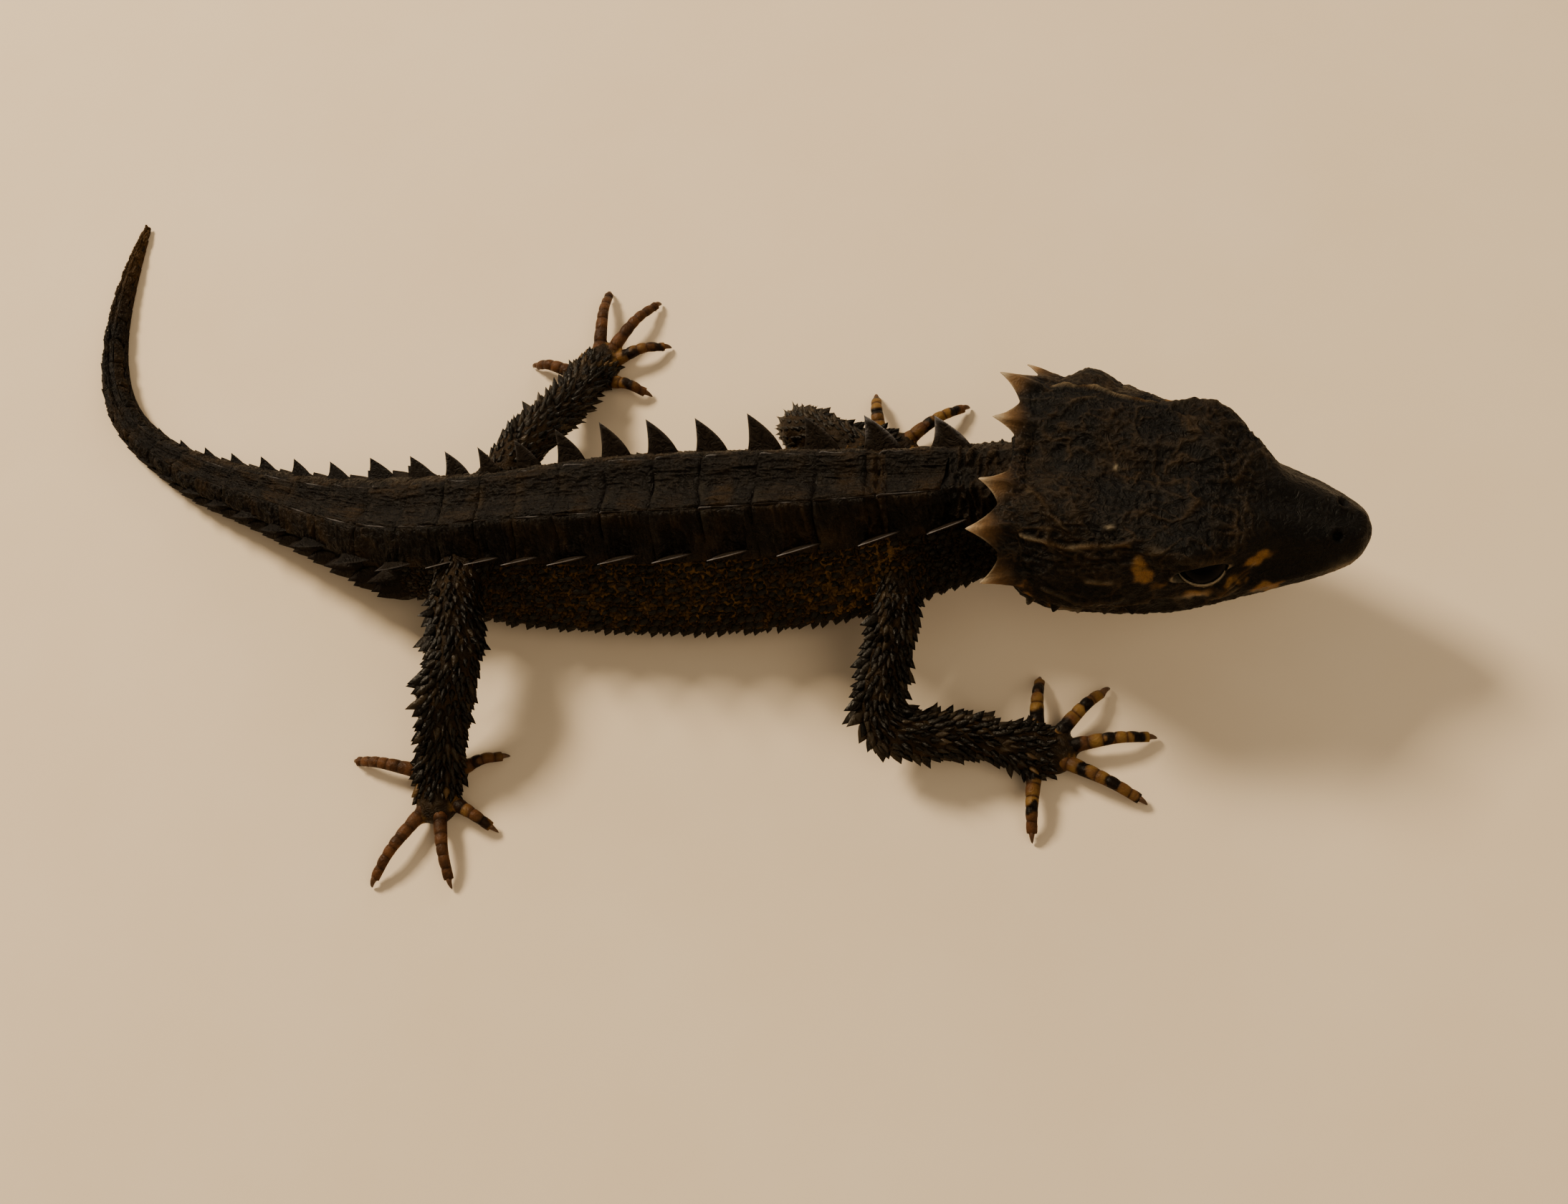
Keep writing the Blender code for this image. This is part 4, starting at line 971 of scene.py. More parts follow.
PALE_PATCHES = (
    ((7.8, 0.0, 14.6), (0.15, 0.12, 0.4), 0.40, 0),
    ((8.1, 4.0, 14.8), (0.22, 0.12, 0.4), 0.32, -1),
    ((21.0, 2.0, 9.1), (1.5, 0.8, 0.50), 0.30, 0), ((5.2, 6.7, 8.1), (0.5, 0.5, 0.35), 0.35, 0),
    ((7.5, 7.2, 10.3), (0.5, 0.4, 0.10), 0.22, 0), ((13.0, 5.7, 9.7), (0.8, 0.5, 0.20), 0.35, 0),
    ((16.9, 4.3, 8.8), (0.7, 0.5, 0.25), 0.30, 0), ((3.3, 6.9, 9.3), (0.22, 0.9, 0.24), 0.35, 0),
    ((6.2, 7.3, 9.0), (0.22, 0.9, 0.20), 0.40, 0), ((7.8, 7.1, 9.0), (0.26, 0.9, 0.20), 0.25, 0),
)
# Bulges in the same way, by their height.
HEAD_BULGES = (
    ((4.8, 6.4, 12.9), (1.7, 1.1, 1.2), 0.25, 0), ((4.9, 6.7, 12.4), (1.5, 1.4, 1.6), 0.95, 1),
    ((8.2, 6.0, 13.2), (1.5, 1.0, 1.1), 0.26, 0), ((12.4, 4.9, 14.1), (2.1, 1.0, 1.0), 0.30, 0),
    ((7.8, 0.0, 14.6), (0.24, 0.24, 1.0), 0.16, 0),
    ((8.1, 4.0, 14.8), (0.30, 0.20, 1.0), 0.16, -1),
    ((5.6, 2.6, 15.2), (1.4, 1.2, 1.0), 0.18, 0), ((10.0, 1.8, 14.5), (1.6, 1.0, 1.0), 0.15, 0),
    ((6.6, 6.9, 11.2), (1.2, 0.8, 0.8), 0.22, 0), ((17.0, 1.2, 12.3), (1.2, 0.8, 0.8), 0.14, 0),
    ((3.3, 6.9, 9.3), (0.30, 1.2, 0.32), 1.00, 0), ((4.8, 7.2, 9.1), (0.32, 1.2, 0.32), 0.90, 0),
    ((6.2, 7.3, 9.0), (0.32, 1.2, 0.32), 0.80, 0), ((7.8, 7.1, 9.0), (0.36, 1.2, 0.30), 0.70, 0),
    ((9.4, 6.7, 9.0), (0.36, 1.2, 0.30), 0.55, 0),
)
# Raised ridges: points along them, half width, height and how pale they are.
HEAD_RIDGES = (
    (((3.0, 5.3, 14.7), (4.2, 5.5, 14.6), (5.8, 5.6, 14.3), (7.9, 5.2, 14.3), (9.4, 4.8, 14.2)),
     0.10, 0.20, 0.30),
    (((10.4, 4.9, 14.3), (12.5, 5.4, 14.1), (14.7, 4.6, 12.9)), 0.20, 0.16, 0.05),
    (((14.9, 4.7, 10.1), (16.3, 3.6, 10.9)), 0.08, 0.12, 0.30),
    (((14.4, 4.9, 9.6), (16.0, 4.0, 10.5)), 0.08, 0.12, 0.30),
    (((14.0, 5.1, 9.2), (15.6, 4.4, 9.9)), 0.08, 0.10, 0.20),
    (((4.4, 6.9, 11.9), (6.4, 7.2, 11.0), (9.0, 6.7, 10.9)), 0.12, 0.20, 0.10),
    (((5.0, 7.0, 9.9), (7.6, 7.2, 9.7), (10.4, 6.4, 9.9)), 0.12, 0.16, 0.10),
    (((3.0, 2.4, 15.1), (4.0, 2.9, 15.1), (4.6, 3.8, 15.0), (5.8, 4.6, 14.8)), 0.10, 0.14, 0.08),
    (((7.0, 6.6, 12.4), (8.4, 6.4, 12.2)), 0.12, 0.16, 0.20),
)
# The ridges are measured along the head and round this height, at this radius.
HEAD_MIDDLE = 10.8
HEAD_ROUND = 5.5


def patches(table, points):
    """How strongly the patches of a table mark head skin."""
    along, across, up = head_read(points)
    total = np.zeros(len(points))
    for (a, b, c), (wide, broad, tall), strength, only in table:
        beside = across * only if only else np.abs(across)
        far = ((along - a) / wide) ** 2 + ((beside - b) / broad) ** 2 + ((up - c) / tall) ** 2
        total = np.maximum(total, strength * np.exp(-far))
    return total


def ridges(points):
    """Height of the raised ridges of the head, and how pale they make it."""
    along, across, up = head_read(points)
    at = np.stack((along, HEAD_ROUND * np.arctan2(up - HEAD_MIDDLE, np.abs(across))), -1)
    total, light = np.zeros(len(points)), np.zeros(len(points))
    for line, half, tall, pale in HEAD_RIDGES:
        flat = [(a, HEAD_ROUND * math.atan2(c - HEAD_MIDDLE, b)) for a, b, c in line]
        for start, end in zip(np.array(flat[:-1]), np.array(flat[1:])):
            way = end - start
            share = np.clip((at - start) @ way / (way @ way), 0, 1)
            far = np.linalg.norm(at - start - share[:, None] * way, axis=1)
            near = np.exp(-(far / half) ** 2)
            total = np.maximum(total, tall * near)
            light = np.maximum(light, pale * near)
    return total, light


def nostril_relief(points):
    """A rim round each nostril and its hole."""
    height = 0.0
    for side in (1, -1):
        far = np.linalg.norm(points - head_place(*np.array(NOSTRIL_AT) * (1, side, 1)), axis=1)
        height = height + (0.10 * bell(far, 0.50, 0.2) - 0.34 * bell(far, 0.0, 0.24))
    return height


def head_relief(points):
    """Height and markings of head skin: plates, wrinkled ridges, jaw and nostrils."""
    # Wrinkles, strong on the casque and weak on the snout, over broad swells and seams.
    along, across, up = head_read(points)
    lean = np.sign(across) * 0.7
    plain = np.stack((along * 0.6, across + lean, up), axis=-1)
    bent = warp(plain, 1.6, 0.6, 11)
    first, second = cells(bent, 2.1, 23)
    seam = 1 - ease(0.01, 0.09, second - first)
    broad = cloud(plain, 1.9, 29) - 0.5
    wrinkle = wrinkles(plain, HEAD_WRINKLE)
    fine = wrinkles(plain, HEAD_FINE)
    faint = wrinkles(plain * (1, 1.5, 1), HEAD_FAINT)
    snout = ease(15.0, 18.0, along)
    casque = ease(12.0, 13.4, up) * (1 - snout)
    rough = (0.60 + 0.40 * casque) * (1 - 0.65 * snout)
    thread = wrinkles(plain * (1, 0.8, 1), HEAD_THREAD)
    thread = np.maximum(thread, 0.8 * wrinkles(plain, HEAD_SMALL_THREAD))
    height = rough * (0.10 * wrinkle ** 2 + 0.10 * fine ** 2 + 0.05 * faint + 0.15 * thread - 0.06)
    height += (1 - 0.6 * snout) * 0.24 * broad - 0.04 * seam * (1 - 0.8 * snout)
    height += patches(HEAD_BULGES, points)
    # Raised ridges that wander a little.
    wander = 0.12 * (cloud(points, 0.7, 67) - 0.5)
    line, line_light = ridges(points + wander[:, None])
    height += line * (0.7 + 0.6 * cloud(points, 0.6, 69))
    # The furrow under the jaw and the plates beside it.
    rows = np.array(HEAD)
    furrow_up = np.interp(along, rows[:, 0], rows[:, FURROW_COLUMN])
    furrow = bell(up, furrow_up, 0.13) * ease(3.0, 4.6, along)
    height -= 0.32 * furrow
    plate = (along + JAW_SHIFT + 0.15 * (up - furrow_up)) / JAW_PLATE % 1.0
    on_jaw = bell(up, furrow_up, 1.0) * ease(6.0, 8.0, along)
    height -= 0.13 * groove(plate, 0.06) * on_jaw * (1 - furrow)
    height += nostril_relief(points)
    # Warm on the patches, the threads, the ridges and every other plate of the jaw.
    ragged = 0.25 + 1.3 * cloud(points, 0.45, 71)
    warm = ease(0.18, 0.75, patches(WARM_PATCHES, warp(points, 0.6, 0.30, 73)) * ragged)
    warm += 0.06 * casque * fine * ease(0.45, 0.7, cloud(points, 2.6, 75))
    warm += 0.11 * thread * (1 - snout) * ease(0.35, 0.65, cloud(points, 1.3, 76))
    warm += 0.9 * line_light * (0.2 + cloud(points, 0.8, 77))
    number = np.floor((along + JAW_SHIFT) / JAW_PLATE)
    odd = scramble(number, np.sign(across), 0 * number, 5) > 0.5
    warm += 0.75 * on_jaw * odd * (1 - groove(plate, 0.2)) * ragged * bell(up, furrow_up, 0.7)
    # Pale on its own patches and along the ridges. The shade is lighter on the raised wrinkles and
    # threads and darker in the valleys, the seams and the furrow under the jaw. This is painted
    # light and painted shade over the relief, with the threads' own paler colour.
    pale = patches(PALE_PATCHES, warp(points, 0.5, 0.16, 79))
    pale += 0.55 * line_light * ease(0.35, 0.75, cloud(points, 0.7, 80))
    shade = 0.26 + (0.40 * (wrinkle - 0.4) + 0.60 * (fine - 0.4) + 0.95 * thread) * rough
    shade = shade - 0.2 * seam - 0.8 * furrow - 0.10 * snout
    return height, np.clip(pale, 0, 0.9), warm, shade


def body_relief(points, distance, turn):
    """Height and markings of body skin."""
    # The flank's net and the belly's plates.
    phase = segment_phase(distance)
    k = np.abs(turn)
    tail = tail_share(distance)
    along_body = np.stack((distance, 2.2 * turn, 0 * distance), axis=-1)
    first, second = cells(along_body, 0.46, 77)
    net = 1 - ease(0.0, 0.25, second - first)
    flank = ease(2.6, 3.1, k) * (1 - ease(6.2, 6.9, k)) * (1 - tail)
    belly = ease(6.2, 6.9, k)
    height = flank * (0.05 - 0.10 * net)
    scale = distance / BELLY_PLATE % 1.0
    height -= belly * 0.10 * groove(scale, 0.08)
    across = (turn * 1.1 + 0.5 * (np.floor(distance / BELLY_PLATE) % 2)) % 1.0
    height -= belly * 0.07 * groove(across, 0.08)
    # Folds across the neck, grooves between the segments of back and tail.
    around = along_body * (1, 0.16, 1)
    fold = wrinkles(around, BODY_FOLD)
    thin = wrinkles(around * (1, 2, 1), BODY_THIN_FOLD)
    neck = np.maximum(1 - ease(3.8, 5.0, distance), bell(distance, NECK_FOLD, 1.0))
    bead = 0.6 + 0.8 * cloud(points, 0.35, 89)
    height += neck * ((0.30 * fold + 0.20 * thin) * bead - 0.14)
    crossing = groove(phase, 0.05) * (1 - ease(2.6, 3.2, k))
    height -= 0.1 * crossing
    ring = np.abs(tail * groove(phase, 0.06))
    height -= 0.08 * ring
    height += 0.03 * (cloud(points, 0.3, 91) - 0.5)
    # Warm on the flanks, most of all behind the arm, on the belly and at the tail's tip.
    warm = flank * (0.25 + 0.75 * cloud(points, 1.6, 93)) * (0.9 - 0.5 * net)
    warm *= ease(5.0, 8.0, distance)
    under_arm = bell(distance, 8.8, 2.6) * bell(k, 5.4, 1.4)
    warm = np.maximum(warm, 0.9 * under_arm * (0.5 + 0.6 * cloud(points, 0.7, 95)))
    warm += belly * (0.35 + 0.4 * cloud(points, 2.2, 97)) * (1 - tail)
    warm += (0.10 * neck * fold * cloud(points, 1.4, 98)
             + 0.1 * thin * bell(distance, NECK_FOLD, 0.6))
    warm += 0.5 * ease(*TIP_WARMS, distance)
    pale = 0.10 * belly
    # The shade is painted shade in the grooves of the flank's net and between the segments. On the
    # neck it is painted light on the raised folds and painted shade between them.
    shade = 0.40 - 0.35 * net * flank - 0.4 * crossing + 0.45 * neck * (fold + 0.7 * thin - 0.9)
    return height, pale, warm, shade


def limb_relief(points):
    """Height and markings of limb skin."""
    pleat = wrinkles(points, LIMB_PLEAT)
    warm = 0.04 + 0.14 * cloud(points, 1.2, 101) * pleat
    return 0.12 * pleat - 0.06, 0.0, warm, 0.06 + 0.24 * pleat


def toe_band(out, offset):
    """How black a toe is at a distance along it."""
    return ease(0.27, 0.36, np.abs((out / TOE_BAND + offset) % 1.0 - 0.5))


def digit_relief(points, out, number):
    """Height and markings of digit skin: rings of scales, with black bands."""
    ring = groove((out - 1.0) / TOE_SCUTE % 1.0, 0.1)
    offset = scramble(number, 0 * number, 0 * number, 7)
    band = toe_band(out + 0.3 * (cloud(points, 0.5, 111) - 0.5), offset)
    warm = 1.0 - 0.95 * band
    warm *= 0.65 + 0.45 * cloud(points, 0.9, 113)
    return -0.06 * ring, 0.0, warm, 0.55 - 0.3 * ring - 0.25 * band


class Ground:
    """The plain skin, to set roots on."""

    def __init__(self, points, normals):
        self.points, self.normals = points, normals
        self.tree = kdtree.KDTree(len(points))
        for i, spot in enumerate(points.tolist()):
            self.tree.insert(spot, i)
        self.tree.balance()

    def settle(self, roots):
        """Roots moved out or in to the skin, the way out there and how far they moved."""
        index = np.array([self.tree.find(root)[1] for root in roots.tolist()])
        out = self.normals[index]
        far = ((self.points[index] - roots) * out).sum(-1)
        return roots + out * far[:, None], out, far


def skin_relief(points, region, one, two):
    """Height and markings of the skin, region by region."""
    reliefs = (
        (HEAD_REGION, lambda on: head_relief(points[on])),
        (BODY_REGION, lambda on: body_relief(points[on], one[on], two[on])),
        (LIMB_REGION, lambda on: limb_relief(points[on])),
        (DIGIT_REGION, lambda on: digit_relief(points[on], one[on], two[on])),
    )
    found = np.zeros((1 + len(MARKS), len(points)))
    for number, relief in reliefs:
        on = region == number
        for row, values in zip(found, relief(on)):
            row[on] = values
    return found[0], dict(zip(MARKS, found[1:]))


def mark_eyes(points, height, marks):
    """The skin round the eyes made smooth and dark, with a pale lower lid."""
    for side in (1, -1):
        _, v, deep, far = eye_reading(points, side)
        close = (deep > -0.6) & (far < 1.6)
        height[close] *= ease(1.1, 1.6, far[close])
        marks["shade"][close] -= 0.3 * (1 - ease(1.0, 1.5, far[close]))
        lower = close & (v < 0.35)
        marks["pale"][lower] += 0.30 * bell(far[lower], 1.10, 0.10)
        marks["warm"][lower] *= ease(1.2, 1.8, far[lower])


def make_skin(material):
    """The skin with its relief and markings, and its places before them."""
    mesh = join_skin()
    points, edges = mesh_arrays(mesh)
    readings = read_skin(points)
    points = shape_eyes(points)
    mesh.vertices.foreach_set("co", points.astype(np.float32).ravel())
    mesh.update()
    normals = np.empty(len(points) * 3, np.float32)
    mesh.vertex_normals.foreach_get("vector", normals)
    normals = normals.reshape(-1, 3).astype(float)
    on_skin = Ground(points, normals)
    height, marks = skin_relief(points, *readings)
    mark_eyes(points, height, marks)
    points = points + normals * (relax_values(height, edges) - SKIN_DEPTH)[:, None]
    points[:, 2] = np.maximum(points[:, 2], 0.0)
    mesh.vertices.foreach_set("co", place(points).astype(np.float32).ravel())
    mesh.polygons.foreach_set("use_smooth", np.ones(len(mesh.polygons), bool))
    mesh.name = "skin"
    mesh.update()
    skin = new_object("skin", mesh)
    for name, values in marks.items():
        set_mark(skin, name, np.clip(relax_values(values, edges), 0.0, 1.0))
    mesh.materials.clear()
    mesh.materials.append(material)
    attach(skin, "root")
    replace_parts(skin, *FLESH)
    return on_skin


def sheet_grid(rows, columns):
    """Shares from 0 to 1 over a grid, and its triangles."""
    u, v = np.meshgrid(np.linspace(0, 1, rows), np.linspace(0, 1, columns), indexing="ij")
    return u.ravel(), v.ravel(), grid_faces(rows, columns)


def lay_plates(pile, at, long, turn, half_turn, rear_rise, ways, grid, seed, shade):
    """Plates that lie on the body between wrinkled grooves, with a raised rear edge and painted
    shade in the grooves at their ends.
    """
    rows, columns = grid
    u, v, faces = sheet_grid(rows, columns)
    at, long, turn, half_turn, rear_rise = (
        np.asarray(x, float).ravel()[:, None] for x in np.broadcast_arrays(
            at, long, turn, half_turn, rear_rise))
    ends = ease(0.0, 1.0, np.minimum(u, 1 - u) * 20)
    rim = ends * ease(0.0, 1.0, np.minimum(v, 1 - v) * 22)
    s = at + long * (u - 0.5)
    t = turn + half_turn * (2 * v - 1)
    low, high = (cloud(np.stack((t * 0.9, at + step * long + 0 * t, 0 * t), -1), 0.8, 202) - 0.5
                 for step in (-0.5, 0.5))
    s = s + 0.45 * ((1 - u) * low + u * high)
    here, _, out = body_frame(s, t)
    deep = 0.25 + 0.75 * ease(0.35, 0.65, cloud(here, 1.5, 204))
    flat = np.stack((s * ways[0], t * ways[1], at + turn + 0 * s), -1)
    height, tone = 0.02 + rear_rise * u ** 3, shade - 0.42
    for run, kind, tall, light in PLATE_WRINKLES:
        lines = wrinkles(flat if run == "across" else here, kind, seed)
        height = height + tall * lines
        tone = tone + light * lines
    height = height * (1 - (1 - rim) * deep) - (0.02 * (1 - rim) + 0.04 * (1 - ends)) * deep
    points = here + out * height[..., None]
    every = copies(faces, len(at), rows * columns)
    patch = body_unwrap(at, turn) + 2 * PATCH * np.stack((u - 0.5, v - 0.5), -1)[None]
    rear_edge = ease(0.80, 0.97, u)[None] * rim
    pale = 0.02 * rear_edge * ease(0.4, 0.7, cloud(here, 0.9, seed + 17))
    ribs = wrinkles(flat, PLATE_RIBS, seed)
    warm = (0.01 + (0.02 + 0.07 * ribs) * ease(0.45, 0.85, cloud(here, 1.6, seed + 9))
            + 0.30 * ease(*TIP_WARMS, s))
    # Painted shade in the grooves at both ends of each plate, darker where the groove is deep.
    furrow = 1 - ease(0.0, 1.0, np.minimum(u, 1 - u) * 8)
    tone = tone - 0.55 * furrow * (0.4 + 0.6 * deep)
    pile.add(points, every, patch, pale=pale.ravel(), warm=warm.ravel(), shade=tone.ravel())


def plate_rows():
    """Middle and length of the plates of each segment, drawn apart at the wide groove."""
    at, pitch = SEGMENTS.T
    at = at + np.interp(at, (5.0, 6.3, 8.4, 10.5, 12.0), (0.0, -0.35, 0.0, 0.35, 0.0))
    return at, pitch - np.interp(at, (5.0, 6.3, 11.0, 12.5), (0.0, 0.7, 0.7, 0.0))


def mid_plates():
    """The band of plates along the mid back, down to the tail's tip."""
    pile = Pile()
    at, long = plate_rows()
    rise = 0.02 + 0.10 * tail_share(at)
    lay_plates(pile, at, long, 0.0, 1.0, rise, (0.32, 3.2), MID_GRID, 201, 0.46)
    return pile


def side_plates():
    """The band of plates on each side of the mid band."""
    pile = Pile()
    at, long = plate_rows()
    rise = 0.02 - 0.12 * ease(*BEND, at)
    for side in (1, -1):
        lay_plates(pile, at, long, side * SIDE_TURN, SIDE_HALF, rise, (1.5, 0.7), SIDE_GRID,
                   231 + 2 * side, 0.42)
    return pile


def keel_lines():
    """The low toothed ridge along each side of the mid back."""
    pile = Pile()
    at, pitch = SEGMENTS.T
    keel = smooth(KEEL_HEIGHT, at)[:, 0]
    rows, columns = KEEL_GRID
    u, v, faces = sheet_grid(rows, columns)
    for side in (1, -1):
        s = at[:, None] + pitch[:, None] * 0.98 * (u - 0.5)
        half = (0.055 + 0.05 * tail_share(at))[:, None]
        t = side * (1.0 + half * 1.2 * (2 * v - 1))
        here, _, out = body_frame(s, t)
        rough = 0.75 + 0.5 * cloud(np.stack((s, side + 0 * s, 0 * s), -1), 0.35, 221)
        tall = keel[:, None] * (0.24 + 0.42 * u ** 2.2) * rough * ease(0.0, 0.05, u) * (
            1 - ease(0.93, 1.0, u))
        crest = 1 - np.abs(2 * v - 1) ** 1.3
        points = here + unit(out + UP) * (tall * crest - 0.08)[..., None]
        every = copies(faces, len(at), rows * columns)
        patch = body_unwrap(at, side)[:, None] + 2 * PATCH * np.stack((u - 0.5, v - 0.5), -1)[None]
        ridge = ease(0.55, 0.95, crest)[None] * ease(0.15, 0.5, u)[None] + 0 * s
        glint = ease(0.45, 0.75, cloud(here, 0.9, 223))
        pile.add(points, every, patch, pale=(0.30 * ridge * glint).ravel(), warm=0.12, shade=0.42)
    return pile


def blade(pile, root, back, out, long, tall, wide, hook, patch, pale, seed, dull):
    """A blade like a shark's fin: a bulging front edge, a hollow rear edge, a sharp rim."""
    levels, sides = FIN_GRID
    level = np.linspace(0, 1, levels)[:, None]
    turn = 2 * np.pi * np.arange(sides) / sides
    side = unit(np.cross(out, back))
    front = -0.5 * long + (0.5 + hook) * long * (0.30 * level + 0.70 * level ** 2.6)
    rear = 0.5 * long - 0.06 * long * np.sin(np.pi * level ** 0.7) + (hook - 0.5) * long * level
    rear = np.maximum(rear, front)
    thick = 0.5 * wide * (1 - 0.86 * level ** 0.8) * (1 + 0.5 * np.exp(-level * 9))
    lens = np.sin(turn) * (0.35 + 0.65 * np.abs(np.sin(turn)))
    x = 0.5 * (front + rear) + 0.5 * (rear - front) * np.cos(turn)
    y = thick * lens
    z = tall * (level - 0.10 * (1 - level)) + 0 * turn
    ridge = np.sin(9.0 * (np.cos(turn) + 0.4 * level) + seed) * 0.5 + 0.5
    y = y * (1 + 0.10 * ridge * (1 - level))
    rings = (root + x[..., None] * back + y[..., None] * side + z[..., None] * out)
    points, faces = tube(rings)
    rim = np.abs(np.cos(turn)) ** 6
    light = np.maximum(pale * rim * ease(0.2, 0.9, level), pale * ease(0.80, 1.0, level) + 0 * rim)
    light = np.concatenate((light.ravel(), (0.0, pale)))
    spots = np.concatenate((np.stack((np.cos(turn) + 0 * level, level + 0 * turn), -1)
                            .reshape(-1, 2), ((0, 0), (0, 1)))) * PATCH
    glow = 0.14 + 0.55 * rim * ease(0.15, 0.8, level) * (0.4 + 0.6 * (seed % 3 == 0))
    warm = np.concatenate((glow.ravel(), (0.1, 0.3))) * (1 - 0.8 * dull)
    shade = np.concatenate(((0.36 + 0.25 * ridge * (1 - rim) + 0 * level).ravel(), (0.4, 0.5)))
    shade = shade * (1 - 0.45 * dull)
    pile.add(points, faces, patch + spots, pale=light, warm=warm, shade=shade)


def fins():
    """The row of fins on each side of the back and tail."""
    pile = Pile()
    for number, (at, pitch) in enumerate(zip(SEGMENT_STARTS, SEGMENTS[:, 1])):
        tail = float(tail_share(at))
        base = float(smooth(FIN_HEIGHT, at)[0])
        lean = math.radians((1 - tail) * FIN_LEAN + tail * TAIL_FIN_LEAN)
        for side in (1, -1):
            if side < 0 and FIN_GAP_RIGHT[0] < at < FIN_GAP_RIGHT[1]:
                continue
            shift, turn = ((FIN_BACK_LEFT, FIN_TURN_LEFT) if side > 0
                           else (FIN_BACK_RIGHT, FIN_TURN_RIGHT))
            vary = 1 + 0.12 * (chance(number, side, 3, 9) - 0.5)
            spot = at + float(smooth(shift, at)[0])
            root, back, _ = (v[0] for v in body_frame(np.array([spot]), np.array([turn * side])))
            left = axis_at(spot)[2]
            out = unit(UP * math.cos(lean) + left * side * math.sin(lean))
            toe = math.radians((1 - tail) * FIN_TOE)
            back = unit(back * math.cos(toe) + left * side * math.sin(toe))
            back = unit(back - out * (back @ out))
            long = (0.80 - 0.02 * tail) * pitch
            root = root - back * 0.08 * pitch
            pale = 0.06 + 0.20 * chance(number, side, 5, 9)
            pale = (pale + 0.50 * (side < 0)) * (1 - 0.95 * ease(*FIN_FADE, at))
            pale = max(pale, 0.7 * float(1 - ease(*FIRST_FINS, at)))
            wide, hook = 0.20 + 0.05 * base, 0.32 + 0.16 * tail
            blade(pile, root, back, out, long, base * vary, wide, hook,
                  body_unwrap(at, turn * side), pale, number, tail)
    return pile


def flank_places(pitch, seed, low, high, first, last):
    """Staggered places on both flanks: distance and signed turn."""
    step_along, step_round = pitch
    rng = np.random.default_rng(seed)
    at, turn = [], []
    turns = np.arange(low, high, step_round)
    for i, k in enumerate(turns):
        row = np.arange(first + (i % 2) * 0.5 * step_along, last, step_along)
        for side in (1, -1):
            at.append(row + rng.normal(0, 0.16 * step_along, len(row)))
            turn.append(side * (k + rng.normal(0, 0.16 * step_round, len(row))))
    return np.concatenate(at), np.concatenate(turn)


def flank_net(pile, rng, skin, knob_at, knob_turn):
    """Small scales on the flanks, laid round the tubercles, warm between them."""
    pitch = NET_PITCH
    at, turn = flank_places(pitch, 5, *NET_REACH)
    flat = np.stack((at, 1.9 * turn), -1)
    knobs = np.stack((knob_at, 1.9 * knob_turn), -1)
    near = np.concatenate([
        np.argmin(((part[:, None] - knobs[None]) ** 2).sum(-1), 1)
        for part in np.array_split(flat, 40)])
    to_knob = knobs[near] - flat
    far = np.linalg.norm(to_knob, axis=1)
    keep = far > 0.17
    at, turn, to_knob, far = at[keep], turn[keep], to_knob[keep], far[keep]
    here, back, out = body_frame(at, turn)
    here, skin_out, moved = skin.settle(here)
    keep = np.abs(moved) < 0.9
    at, turn, to_knob, far, here, back, out = (
        x[keep] for x in (at, turn, to_knob, far, here, back, skin_out))
    side = np.cross(out, back)
    round_knob = unit(back * -to_knob[:, 1:] + side * to_knob[:, :1])
    net = ease(0.20, 0.42, far)
    region = ease(0.20, 0.70, cloud(here, 1.9, 121)) * ease(3.3, 4.8, np.abs(turn))
    region = region * ease(5.0, 8.0, at) * (1 - 0.6 * ease(26.0, 34.0, at))
    under_arm = bell(at, 9.5, 2.2) * bell(np.abs(turn), 5.3, 1.2)
    warm = np.clip((0.08 + 0.52 * region + 0.8 * under_arm) * net, 0, 1)
    length = rng.uniform(0.34, 0.56, len(at))
    scatter(pile, dome_form(5), here - out * 0.03, round_knob, out, length,
            rng.uniform(0.16, 0.27, len(at)), rng.uniform(0.05, 0.12, len(at)) + 0.05 * net,
            body_unwrap(at, turn), warm=warm * rng.uniform(0.35, 1.1, len(at)),
            shade=0.12 + 0.30 * net * rng.random(len(at)))


def flank_knobs(pile, rng, skin, at, turn):
    """Black pointed tubercles on the flanks, larger towards the belly."""
    here, back, _ = body_frame(at, turn)
    here, out, moved = skin.settle(here)
    keep = np.abs(moved) < 0.7
    at, turn, here, back, out = (x[keep] for x in (at, turn, here, back, out))
    low = ease(4.4, 5.8, np.abs(turn))
    size = (0.40 + 0.16 * low) * rng.uniform(0.75, 1.2, len(at))
    tall = (0.16 + 0.30 * low) * rng.uniform(0.65, 1.2, len(at))
    scatter(pile, dome_form(8, 0.8), here, back, out, 1.25 * size, size, tall,
            body_unwrap(at, turn), shade=0.05, pale=0.02)


def flank_scales(skin):
    """A net of small scales round black pointed tubercles on the flanks."""
    pile = Pile()
    rng = np.random.default_rng(6)
    knobs = flank_places(KNOB_PITCH, 7, *KNOB_REACH)
    flank_net(pile, rng, skin, *knobs)
    flank_knobs(pile, rng, skin, *knobs)
    return pile


